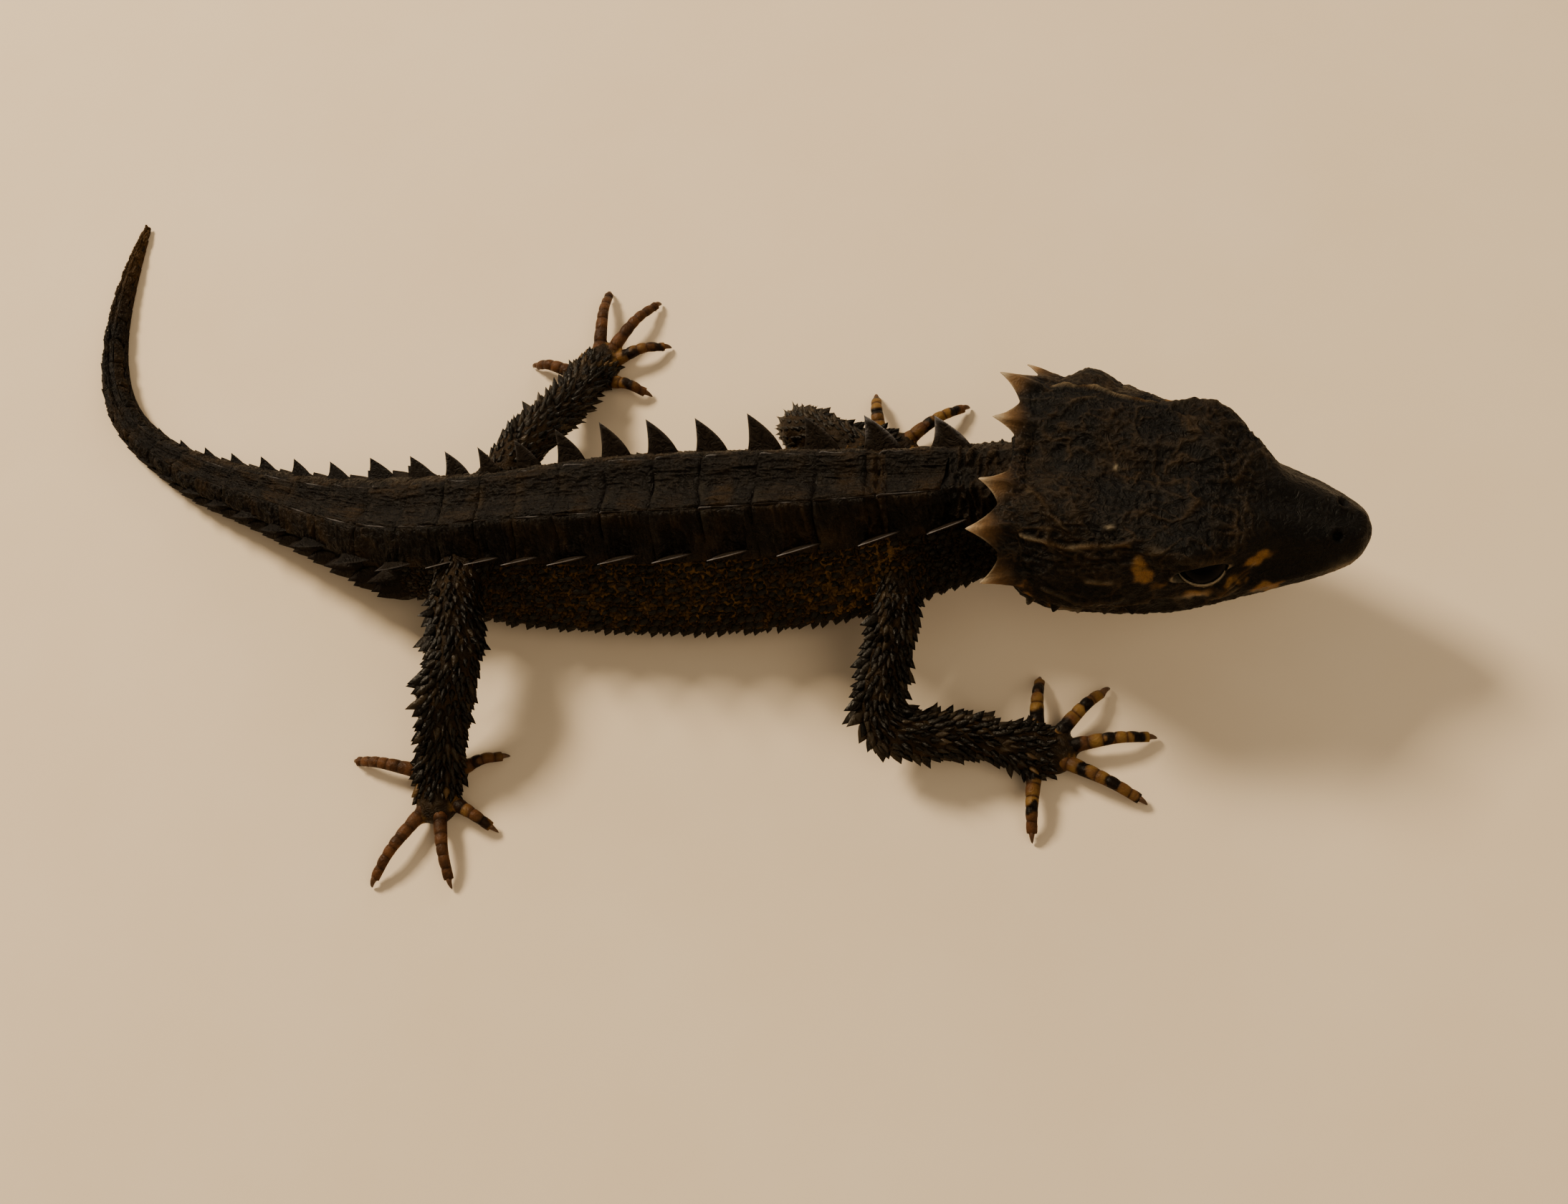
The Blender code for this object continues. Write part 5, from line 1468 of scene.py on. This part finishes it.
def tail_scales():
    """Whorls of keeled scales round the tail below its fins, and its closed tip."""
    pile = Pile()
    rows = []
    for at, pitch in SEGMENTS[(SEGMENTS[:, 0] > WHORLS[0]) & (SEGMENTS[:, 0] < WHORLS[1])]:
        for half in (-0.25, 0.25):
            for k in np.arange(3.7, 8.0, 0.72):
                for side in (1, -1):
                    rows.append((at + half * pitch, side * (k + 0.36 * (half > 0)), pitch))
    at, turn, pitch = np.array(rows).T
    turn = np.clip(turn, -7.9, 7.9)
    here, back, out = body_frame(at, turn)
    half = smooth(BODY, at)[:, 0]
    rise = 0.28 * half * (1 - 0.75 * ease(5.6, 6.6, np.abs(turn))) * (1 - 0.45 * ease(*BEND, at))
    scatter(pile, leaf_form(7, 7, 0.55), here, back, out, 0.72 * pitch, 0.42 * half, rise,
            body_unwrap(at, turn), shade=0.22, warm=0.03 + 0.3 * ease(*TIP_WARMS, at))
    at = np.arange(TIP_STARTS, AXIS_LENGTH, 0.2)
    half, under, top = smooth(BODY, at).T
    narrow = np.minimum(1.0, 0.25 + 0.5 * (AXIS_LENGTH - at))
    line = axis_at(at)[0] + UP * (0.5 * (under + top))[:, None]
    points, faces = sweep(line, half * narrow, 0.5 * (top - under) * narrow, 12)
    pile.add(points, faces, body_unwrap(AXIS_LENGTH, 0.0) + np.zeros((len(points), 2)),
             warm=0.35, shade=0.25)
    return pile


def leaf_form(rows, columns, keel):
    """A pointed overlapping scale with a keel, whose tip lifts off the skin."""
    u, v, faces = sheet_grid(rows, columns)
    w = 2 * v - 1
    outline = np.minimum(1.0, 0.35 + 2.2 * u) * (1 - u ** 1.7) ** 0.85 + 0.02
    x = u - 0.5 + 0.10 * (1 - np.abs(w)) * u
    y = 0.55 * w * outline
    crest = keel * (1 - np.abs(w)) ** 2.2 * np.sin(np.pi * u ** 0.7)
    z = u ** 1.7 * (1 - 0.55 * np.abs(w)) + crest - 0.25 * (1 - u) ** 2 - 0.12 * np.abs(w)
    top = np.stack((x, y, z), -1)
    under = np.stack((x * 0.92, y * 0.85, z * 0.45 - 0.35), -1)
    points = np.concatenate((top, under))
    count = rows * columns
    back_faces = faces[:, ::-1] + count
    place_in = np.arange(count).reshape(rows, columns)
    border = np.concatenate((place_in[0], place_in[1:, -1], place_in[-1, ::-1][1:],
                             place_in[::-1, 0][1:-1]))
    after = np.roll(border, -1)
    rim = np.concatenate((np.stack((border, border + count, after + count), -1),
                          np.stack((border, after + count, after), -1)))
    return points, np.concatenate((faces, back_faces, rim))[:, ::-1]


def limb_places(rng, widths, heights, last):
    """Staggered places round a limb: step along its path and turn."""
    position, turn = [], []
    at, row = 1, 0
    while at < last:
        around = max(int(2 * np.pi * 0.5 * (widths[at] + heights[at]) / LIMB_SCALE), 11)
        turns = 2 * np.pi * (np.arange(around) + 0.5 * (row % 2)) / around
        position.append(np.full(around, at) + rng.normal(0, 0.8, around))
        turn.append(turns + rng.normal(0, 0.05, around))
        at += LIMB_ROW
        row += 1
    return np.concatenate(position), np.concatenate(turn)


def limb_scales(skin, chosen):
    """Overlapping keeled scales on the limbs and smaller ones over the soles' backs."""
    pile = Pile()
    rng = np.random.default_rng(8)
    form = leaf_form(6, 5, 0.38)
    for number in chosen:
        joints, sole, _ = LIMBS[number]
        path, widths, heights = limb_path(joints)
        sole_at = int(np.argmin(np.linalg.norm(path - np.array(joints[sole][:3]), axis=1)))
        position, turn = limb_places(rng, widths, heights, sole_at + 8)
        index = np.clip(position, 0, len(path) - 1)
        steps = np.arange(len(path))
        spot, wide, tall, ahead, across, over = (
            read_along(table, steps, index) for table in (path, widths, heights, *ways_of(path)))
        ahead, across, over = unit(ahead), unit(across), unit(over)
        cosine, sine = np.cos(turn), np.sin(turn)
        spoke = across * cosine[:, None] + over * sine[:, None]
        root = spot + across * (wide * cosine)[:, None] + over * (tall * sine)[:, None]
        root, skin_out, moved = skin.settle(root)
        depth = body_depth(root)
        keep = (root[:, 2] > 0.30) & (moved < 1.2) & (depth < 0.6)
        root, ahead, spoke, index, turn, skin_out, depth = (
            x[keep] for x in (root, ahead, spoke, index, turn, skin_out, depth))
        low = ease(-2.0, -0.6, depth)
        out = unit(0.5 * spoke + skin_out)
        spread = rng.uniform(0.75, 1.25, len(root))
        hand = ease(sole_at - 14, sole_at - 2, index)
        under = ease(-0.2, -0.8, np.sin(turn))
        rise = rng.uniform(0.45, 1.0, len(root)) + 0.8 * (rng.random(len(root)) > 0.84)
        rise = (0.44 - 0.20 * hand) * (1 - 0.6 * under) * rise * (1 - 0.6 * low)
        spread = spread * (1 - 0.30 * low)
        thorn = ease(0.45, 0.85, spoke @ (-0.95, -0.3, 0.0)) * (rng.random(len(root)) > 0.35)
        rise = rise * (1 + 0.8 * thorn * (1 - low))
        lit = rng.random(len(root))
        scatter(pile, form, root - out * 0.06, ahead, out,
                (0.76 - 0.14 * hand) * spread * (1 + 0.35 * thorn),
                (0.46 - 0.06 * hand) * spread, rise,
                limb_unwrap(number, index / len(path), turn / np.pi),
                warm=0.01 + 0.10 * lit ** 6 + 0.4 * hand * (lit > 0.86),
                shade=0.08 + 0.20 * rng.random(len(root)) ** 2,
                pale=0.03 * lit ** 4)
    return pile


def body_depth(points):
    """How far points lie inside the body, roughly, in mm; negative outside."""
    best = np.full(len(points), -9.0)
    for at in np.arange(-1.0, 50.0, 0.5):
        half, under, top = smooth(BODY, at)
        centre, back, left = axis_at(at)
        shift = points - centre
        near = np.abs(shift @ back) < 0.6
        x = (shift @ left) / half
        z = (points[:, 2] - 0.5 * (under + top)) / (0.5 * (top - under))
        depth = (1 - np.sqrt(x * x + z * z)) * half
        best = np.where(near, np.maximum(best, depth), best)
    return best


def toe_scales():
    """Smooth rounded scutes across the back of each digit, with black bands."""
    pile = Pile()
    u, v, faces = sheet_grid(*SCUTE_GRID)
    for number, finger, reach, path, radii, _ in every_digit():
        _, across, over = ways_of(path)
        steps = np.linspace(0, reach, len(path))
        offset = chance(5 * number + finger, 0, 0, 7)
        weak, fore = (1.0, 1.0) if number < 2 else (0.9, 0.5) if finger < 2 else (0.45, 0.0)
        for start in np.arange(1.0, reach - 0.3, TOE_SCUTE):
            out = start + TOE_SCUTE * u
            spot, side, up = (read_along(table, steps, out) for table in (path, across, over))
            turn = np.pi * (0.03 + 0.94 * v)
            spoke = side * np.cos(turn)[:, None] + up * np.sin(turn)[:, None]
            bulge = 0.085 * np.sin(np.pi * u) ** 0.7 * np.sin(np.pi * v) ** 0.4 - 0.04
            points = spot + spoke * (np.interp(out, steps, radii) + bulge)[:, None]
            wave = 0.75 * (cloud(points, 0.6, 111) - 0.5)
            band = toe_band(out + wave, offset)
            edge = np.sin(np.pi * u) ** 0.5
            warm = ((1 - 0.96 * weak * band) * (0.4 + 0.5 * edge)
                    * (0.5 + 0.7 * cloud(points, 0.7, 113)))
            light = ease(0.15, 0.75, cloud(points, 0.9, 115))
            unwrap = (limb_unwrap(number, 0.9 + 0.02 * finger, (start - 3) / 4)
                      + PATCH * np.stack((u - 0.5, v - 0.5), -1))
            pile.add(points, faces, unwrap, pale=0.80 * fore * (1 - band) * edge * light,
                     warm=warm, shade=(0.55 - 0.4 * band) * edge)
    return pile


def claws():
    """A curved claw at the tip of each digit."""
    pile = Pile()
    for number, finger, _, path, _, way in every_digit():
        start = path[-1] - way * 0.20 + UP * 0.06
        t = np.linspace(0, 1, 14)[:, None]
        end = path[-1] + way * CLAW_REACH
        line = start + (end - start) * t + UP * (0.16 * np.sin(np.pi * t * 0.9))
        line[:, 2] += (0.12 - line[-1, 2]) * t[:, 0] ** 2
        size = CLAW_RADIUS * (1 - t[:, 0]) ** 0.6 + 0.02
        points, faces = sweep(line, 0.8 * size, 1.1 * size, 10)
        warm = np.concatenate((np.repeat(0.9 - 0.6 * t[:, 0], 10), (0.9, 0.3)))
        unwrap = limb_unwrap(number, 0.9 + 0.02 * finger, 0.9) + np.zeros((len(points), 2))
        pile.add(points, faces, unwrap, warm=warm, shade=0.6, pale=0.03)
    return pile


# The rear rim of the casque in the head's own directions, from the mid line outwards.
# Each row has its place, base (along, across, up), edge and, for a spine, the reach of
# its tip past that edge.
RIM = (
    (0, 2.6, 0.0, 14.50, 1.60, 0.0, 14.75, 0, 0.0, 0.0),
    (1, 3.0, 1.0, 14.75, 1.55, 1.1, 15.00, 0, 0.0, 0.0),
    (2, 3.4, 2.1, 14.95, 1.45, 2.2, 15.14, -1.45, -0.05, 0.28),
    (3, 3.6, 3.3, 14.95, 1.35, 3.5, 15.10, 0, 0.0, 0.0),
    (4, 3.8, 4.5, 14.55, 1.55, 5.0, 14.75, -1.75, 0.40, 0.40),
    (5, 3.9, 5.6, 13.45, 1.80, 6.2, 13.85, 0, 0.0, 0.0),
    (6, 4.1, 6.4, 12.25, 2.10, 7.0, 12.60, -1.35, 0.60, 0.05),
    (7, 4.2, 6.7, 11.40, 2.60, 7.1, 11.60, 0, 0.0, 0.0),
    (8, 4.4, 6.7, 10.60, 3.60, 7.0, 10.80, 0, 0.0, 0.0),
)
# The columns of the rim's table that tell the spines.
RIM_PLACE = 0
RIM_EDGE = slice(4, 7)
RIM_SPINE = slice(7, 10)
RIM_COLUMNS = 401
RIM_ROWS = 40


def rim_lines(w):
    """Base and tip of the rim at places from its middle, how near a spine, and all tips."""
    table = np.array(RIM)
    mirror = np.vstack((table[:0:-1] * (-1, 1, -1, 1, 1, -1, 1, 1, -1, 1), table))
    base, edge, _ = np.split(smooth(mirror, w), 3, axis=1)
    spine = np.zeros(len(w))
    reach = np.zeros((len(w), 3))
    spines = table[table[:, RIM_SPINE].any(1)]
    for row in spines:
        near = np.clip(1 - np.abs(w - row[RIM_PLACE]) / 0.95, 0.0, 1.0)
        sharp = 0.50 * near + 0.50 * near ** 2.2
        spine = np.maximum(spine, near)
        reach += sharp[:, None] * row[RIM_SPINE]
    tips = np.array([head_place(*(row[RIM_EDGE] + row[RIM_SPINE]) * (1, way, 1))
                     for row in spines for way in (1, -1)])
    return base, edge + reach, spine, tips


def rim_faces():
    """Triangles of the rim: round its upper and lower face, and closed at both edges."""
    wide = 2 * RIM_COLUMNS
    i = np.arange(RIM_COLUMNS - 1)
    strip = np.concatenate((np.stack((i, i + 1, wide - 2 - i), -1),
                            np.stack((i, wide - 2 - i, wide - 1 - i), -1)))
    return np.concatenate((grid_faces(RIM_ROWS, wide, closed=True), strip[:, ::-1],
                           strip + (RIM_ROWS - 1) * wide))


def casque_rim():
    """The scalloped rear rim of the casque with its six flat pale spines."""
    pile = Pile()
    place_on = np.linspace(-8, 8, RIM_COLUMNS)
    side = np.sign(place_on)
    base, tip, spine, tips = rim_lines(np.abs(place_on))
    t = np.linspace(0, 1, RIM_ROWS)[:, None]
    line = base[None] + (tip - base)[None] * t[..., None]
    lift = 0.16 * np.sin(np.pi * t) * (0.3 + 0.7 * spine[None]) - 0.34 * (1 - t) ** 6
    spots = head_place(line[..., 0], side[None] * line[..., 1], line[..., 2] + lift)
    across = unit(np.gradient(spots, axis=1))
    down = unit(np.gradient(spots, axis=0))
    out = unit(np.cross(across, down))
    out = out * np.where(out[..., 2:3] + 0.3 * out[..., 1:2] * side[None, :, None] < 0, -1, 1)
    thin = (1 - 0.90 * t ** 1.2) * (0.30 + 0.30 * spine[None])
    from_tip = np.linalg.norm(spots[:, :, None] - tips, axis=-1).min(-1)
    from_edge = (1 - t) * np.linalg.norm(tip - base, axis=1)[None]
    flat = spots.reshape(-1, 3)
    relief, _, skin_warm, skin_shade = (x.reshape(spots.shape[:2]) for x in head_relief(flat))
    horny = ease(2.5, 1.4, from_tip)
    down_ribs = np.stack((place_on[None] * 3.0 + 0 * t, 0.5 * t + 0 * place_on, 0 * t + side), -1)
    rib = crease(down_ribs, 0.5, 147) ** 2
    crest = 0.22 * ease(0.3, 1.0, spine[None]) ** 3 * np.sin(np.pi * np.minimum(t * 0.9, 1.0))
    sunk = relief * (1 - horny) * (1 - t) ** 0.4 - SKIN_DEPTH * (1 - t)
    top = spots + out * (sunk + crest + 0.03 * rib * horny)[..., None]
    low = spots - out * (0.05 + thin)[..., None] * np.minimum(1.0, 4 * (1 - t) + 0.10)[..., None]
    rings = np.concatenate((top, low[:, ::-1]), axis=1)
    wave = 0.35 * (cloud(spots, 0.6, 145) - 0.5)
    tip_pale = bell(from_tip + wave, 0.0, 0.60)
    edge_line = bell(from_edge, 0.0, 0.12) * ease(2.0, 0.8, from_tip)
    pale = np.maximum(0.55 * tip_pale, 0.30 * edge_line)
    glow = bell(from_tip + wave, 0.0, 1.25)
    warm = skin_warm * (1 - horny) + (0.10 + 0.72 * glow * (0.4 + cloud(spots, 0.5, 149))) * horny
    shade = skin_shade * (1 - horny) + (0.42 + 0.15 * rib) * horny
    pale, warm, shade = (np.concatenate((x, x[:, ::-1]), axis=1) for x in (pale, warm, shade))
    spot = head_unwrap(np.concatenate((np.broadcast_to(2.0 + t, top.shape[:2]),) * 2, axis=1),
                       np.concatenate((place_on, place_on[::-1]))[None] / 2.0)
    pile.add(rings, rim_faces(), spot, pale=pale, warm=warm, shade=shade)
    return pile


def eyeball(side, name, material):
    """A round eye with a slightly bulging front."""
    centre, look, ahead, over = eye_of(side)
    around, rings = 48, 32
    slope = np.linspace(0.02, np.pi - 0.02, rings)[:, None]
    turn = 2 * np.pi * np.arange(around) / around
    shape = EYE_RADIUS * (1 + 0.04 * np.exp(-(slope / 0.5) ** 2))
    spots = centre + shape[..., None] * (
        np.cos(slope)[..., None] * look
        + (np.sin(slope) * np.cos(turn))[..., None] * ahead
        + (np.sin(slope) * np.sin(turn))[..., None] * over)
    points, faces = tube(spots)
    obj = new_mesh(name, place(points), faces)
    iris = np.concatenate((np.broadcast_to(slope, (rings, around)).ravel(), (0.0, np.pi)))
    set_mark(obj, "slope", iris)
    obj.data.materials.append(material)
    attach(obj, "root")
    return obj


def eyelid_rims():
    """The thin pale rim of each lower eyelid."""
    pile = Pile()
    for side in (1, -1):
        centre, look, ahead, over = eye_of(side)
        turn = np.radians(np.linspace(-172, -4, 41))
        u = 0.90 * LID_LONG * np.cos(turn)
        v = LID_LOW * np.sin(turn) * 0.95 + 0.12 * np.maximum(np.cos(turn), 0) ** 2
        deep = eye_surface(u, v) + LID_GAP
        path = centre + ahead * u[:, None] + over * v[:, None] + look * deep[:, None]
        size = 0.075 * np.sin(np.pi * np.linspace(0.04, 0.96, 41)) ** 0.6
        points, faces = sweep(path, size, size, 8)
        pile.add(points, faces, head_unwrap(EYE_AT[0], 3.6 * side) + np.zeros((len(points), 2)),
                 pale=0.42, warm=0.10, shade=0.5)
    return pile


def plain_material(name):
    """A material with nodes and its main shader."""
    material = bpy.data.materials.new(name)
    material.use_nodes = True
    tree = material.node_tree
    shader = tree.nodes["Principled BSDF"]
    return material, tree, shader


def add_node(tree, kind, **values):
    """A node with settings by attribute and by input name."""
    node = tree.nodes.new(kind)
    for name, value in values.items():
        if hasattr(node, name):
            setattr(node, name, value)
        else:
            node.inputs[name.replace("_", " ")].default_value = value
    return node


def ramp(tree, factor, stops):
    """A colour ramp fed by a factor."""
    node = tree.nodes.new("ShaderNodeValToRGB")
    tree.links.new(factor, node.inputs["Fac"])
    bar = node.color_ramp.elements
    while len(bar) < len(stops):
        bar.new(0.5)
    for element, (at, colour) in zip(bar, stops):
        element.position = at
        element.color = (*colour, 1.0)
    return node.outputs["Color"]


def mix(tree, factor, low, high):
    """Two colours mixed by a factor; a colour may be fixed or fed."""
    node = tree.nodes.new("ShaderNodeMix")
    node.data_type = "RGBA"
    for place_of, value in ((0, factor), (6, low), (7, high)):
        socket = node.inputs[place_of]
        if hasattr(value, "links"):
            tree.links.new(value, socket)
        else:
            socket.default_value = value if isinstance(value, float) else (*value, 1.0)
    return node.outputs[2]


def sums(tree, kind, one, two, clamp=False):
    """Two numbers brought together; either may be fixed or fed."""
    node = tree.nodes.new("ShaderNodeMath")
    node.operation = kind
    node.use_clamp = clamp
    for socket, value in zip(node.inputs, (one, two)):
        if hasattr(value, "links"):
            tree.links.new(value, socket)
        else:
            socket.default_value = value
    return node.outputs[0]


def weigh(tree, *terms):
    """The sum of numbers, each times its share."""
    total, *rest = (sums(tree, "MULTIPLY", value, share) for value, share in terms)
    for part in rest:
        total = sums(tree, "ADD", total, part)
    return total


def speckle(tree, mark, grain, share, base):
    """A marking made uneven by the grain of the skin."""
    uneven = sums(tree, "ADD", sums(tree, "MULTIPLY", grain, share), base)
    return sums(tree, "MULTIPLY", mark, uneven, clamp=True)


def raise_by(tree, shader, height, strength, distance):
    """Fine relief of the surface, fed by a height."""
    raised = add_node(tree, "ShaderNodeBump", Strength=strength, Distance=distance)
    tree.links.new(height, raised.inputs["Height"])
    tree.links.new(raised.outputs["Normal"], shader.inputs["Normal"])


def noise_of(tree, where, scale, detail=4.0, rough=0.6, swirl=0.0):
    """A noise texture's value in the object's own space."""
    node = add_node(tree, "ShaderNodeTexNoise", Scale=scale, Detail=detail, Roughness=rough,
                    Distortion=swirl)
    tree.links.new(where, node.inputs["Vector"])
    return node.outputs["Fac"]


def mark_of(tree, name):
    """A marking of the mesh by name."""
    node = tree.nodes.new("ShaderNodeAttribute")
    node.attribute_name = name
    return node.outputs["Fac"]


def scale_material(name, dark, brown, orange, cream, rough=(0.34, 0.60), bump=0.6, sheen=SHEEN):
    """Scaly skin: dark to brown by noise and marks, with painted light along the raised crests of
    the folds; orange and cream by the marks.
    """
    material, tree, shader = plain_material(name)
    where = tree.nodes.new("ShaderNodeTexCoord").outputs["Object"]
    broad = noise_of(tree, where, BROAD_NOISE, 5.0)
    fine = noise_of(tree, where, FINE_NOISE, 6.0, 0.7)
    pits = noise_of(tree, where, PIT_NOISE, 3.0)
    swirls = noise_of(tree, where, FOLD_NOISE, 3.0, 0.5, 1.6)
    folds = sums(tree, "ABSOLUTE", sums(tree, "SUBTRACT", swirls, 0.5), 0.0)
    lit_crests = sums(tree, "SUBTRACT", 1.0, sums(tree, "MULTIPLY", folds, 14.0), clamp=True)
    pale, warm, shade = (mark_of(tree, mark) for mark in MARKS)
    shade = sums(tree, "SUBTRACT", shade, 0.5)
    # The tone rises with the fine grain and along the crests of the swirled folds, both of which
    # the bump raises, and falls in the folds between. This is painted light on the raised places
    # and painted shade in the folds, over the grain's own uneven tone.
    tone = weigh(tree, (broad, 0.16), (fine, 0.52), (shade, 0.9), (lit_crests, 0.42))
    mid = tuple(0.75 * a + 0.25 * b for a, b in zip(dark, brown))
    colour = ramp(tree, tone, ((0.28, dark), (0.54, mid), (0.88, brown)))
    colour = mix(tree, speckle(tree, warm, fine, 1.3, 0.25), colour, orange)
    colour = mix(tree, speckle(tree, pale, fine, 0.8, 0.6), colour, cream)
    tree.links.new(colour, shader.inputs["Base Color"])
    gloss = tree.nodes.new("ShaderNodeMapRange")
    tree.links.new(fine, gloss.inputs["Value"])
    for socket, value in (("From Min", 0.3), ("From Max", 0.7), ("To Min", rough[0]),
                          ("To Max", rough[1])):
        gloss.inputs[socket].default_value = value
    tree.links.new(gloss.outputs["Result"], shader.inputs["Roughness"])
    shader.inputs["Specular IOR Level"].default_value = sheen
    shader.inputs["Specular Tint"].default_value = SHEEN_TINT
    height = sums(tree, "ADD", fine, sums(tree, "MULTIPLY", pits, 0.5))
    height = sums(tree, "SUBTRACT", height, sums(tree, "MULTIPLY", folds, 5.0))
    raise_by(tree, shader, height, bump, SKIN_BUMP)
    return material


def eye_material():
    """A wet, nearly black eye with a narrow brown iris."""
    material, tree, shader = plain_material("eye")
    slope = mark_of(tree, "slope")
    colour = ramp(tree, sums(tree, "DIVIDE", slope, math.pi), EYE_COLOURS)
    where = tree.nodes.new("ShaderNodeTexCoord").outputs["Object"]
    veins = noise_of(tree, where, VEIN_NOISE, 5.0)
    colour = mix(tree, veins, colour, EYE_VEINS)
    tree.links.new(colour, shader.inputs["Base Color"])
    shader.inputs["Roughness"].default_value = 0.12
    shader.inputs["Specular IOR Level"].default_value = EYE_SHEEN
    raise_by(tree, shader, veins, 0.04, EYE_BUMP)
    return material


def make_animal():
    """All that shows of the animal."""
    body = scale_material("body_scales", DARK, BROWN, ORANGE, CREAM)
    horn = scale_material("horn", DARK, BROWN, *HORN, (0.38, 0.6), 0.3)
    grey = scale_material("fin_horn", DARK, BROWN, *FIN_HORN, (0.4, 0.6))
    on_skin = make_skin(body)
    mid_plates().build("mid_plates", "body_skin", body)
    side_plates().build("side_plates", "body_skin", body)
    keel_lines().build("keel_lines", "spine", grey)
    fins().build("back_fins", "spine", grey)
    flank_scales(on_skin).build("flank_scales", "body_skin", body)
    tail_scales().build("tail_scales", "body_skin", body)
    shiny = scale_material("limb_scales", DARK, LIMB_BROWN, ORANGE, CREAM, (0.24, 0.44), 0.4,
                           LIMB_SHEEN)
    limb_scales(on_skin, (0, 1)).build("arm_scales", "limb_skin", shiny)
    limb_scales(on_skin, (2, 3)).build("leg_scales", "limb_skin", shiny)
    toes = scale_material("toe_scales", DARK, BROWN, *TOES, (0.3, 0.5), 0.3)
    toe_scales().build("toe_scales", "toe_skin", toes)
    smooth_horn = scale_material("claw", *CLAW_HORN, CREAM, (0.22, 0.38), 0.06)
    claws().build("claws", "claw", smooth_horn)
    casque_rim().build("casque_spines", "spine", horn)
    eyelid_rims().build("eyelid_rims", "head_skin", body)
    wet = eye_material()
    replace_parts(eyeball(1, "eyeball_left", wet), "eye_left")
    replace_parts(eyeball(-1, "eyeball_right", wet), "eye_right")


def set_camera():
    """The camera at the photo's angle and framing."""
    tilt, azimuth = math.radians(CAMERA_TILT), math.radians(CAMERA_AZIMUTH)
    away = Vector((-math.sin(azimuth) * math.sin(tilt), -math.cos(azimuth) * math.sin(tilt),
                   math.cos(tilt)))
    right = (Vector((1, 0, 0)) - away * away.x).normalized()
    over = away.cross(right)
    data = bpy.data.cameras.new("camera")
    data.sensor_width = CAMERA_SENSOR
    data.lens = CAMERA_LENS
    data.clip_start = CAMERA_CLIP
    data.dof.use_dof = False
    camera = new_object("camera", data)
    target = Vector((-ORIGIN[0], -ORIGIN[1], 0.0)) * MM
    camera.matrix_world = Matrix.Translation(target + away * CAMERA_DISTANCE * MM) @ Matrix(
        (right, over, away)).transposed().to_4x4()
    bpy.context.scene.camera = camera


def set_stage():
    """A plain pale floor and soft light."""
    points = np.array(((-1, -1, 0), (1, -1, 0), (1, 1, 0), (-1, 1, 0))) * FLOOR_HALF
    floor = new_mesh("floor", points, np.array(((0, 1, 2), (0, 2, 3))))
    material, tree, shader = plain_material("floor")
    where = tree.nodes.new("ShaderNodeTexCoord").outputs["Object"]
    colour = mix(tree, noise_of(tree, where, FLOOR_NOISE), *FLOOR_COLOURS)
    tree.links.new(colour, shader.inputs["Base Color"])
    shader.inputs["Roughness"].default_value = 0.85
    floor.data.materials.append(material)
    for name, spot, size, power in LAMPS:
        light = bpy.data.lights.new(name, "AREA")
        light.size = size
        light.energy = power
        light.color = LAMP_COLOUR
        lamp = new_object(name, light)
        lamp.location = spot
        lamp.rotation_euler = (-Vector(spot)).to_track_quat("-Z", "Y").to_euler()
    world = bpy.data.worlds.new("soft_light")
    world.use_nodes = True
    sky = world.node_tree.nodes["Background"]
    sky.inputs["Color"].default_value = SKY_COLOUR
    sky.inputs["Strength"].default_value = SKY_STRENGTH
    bpy.context.scene.world = world


make_animal()
set_camera()
set_stage()
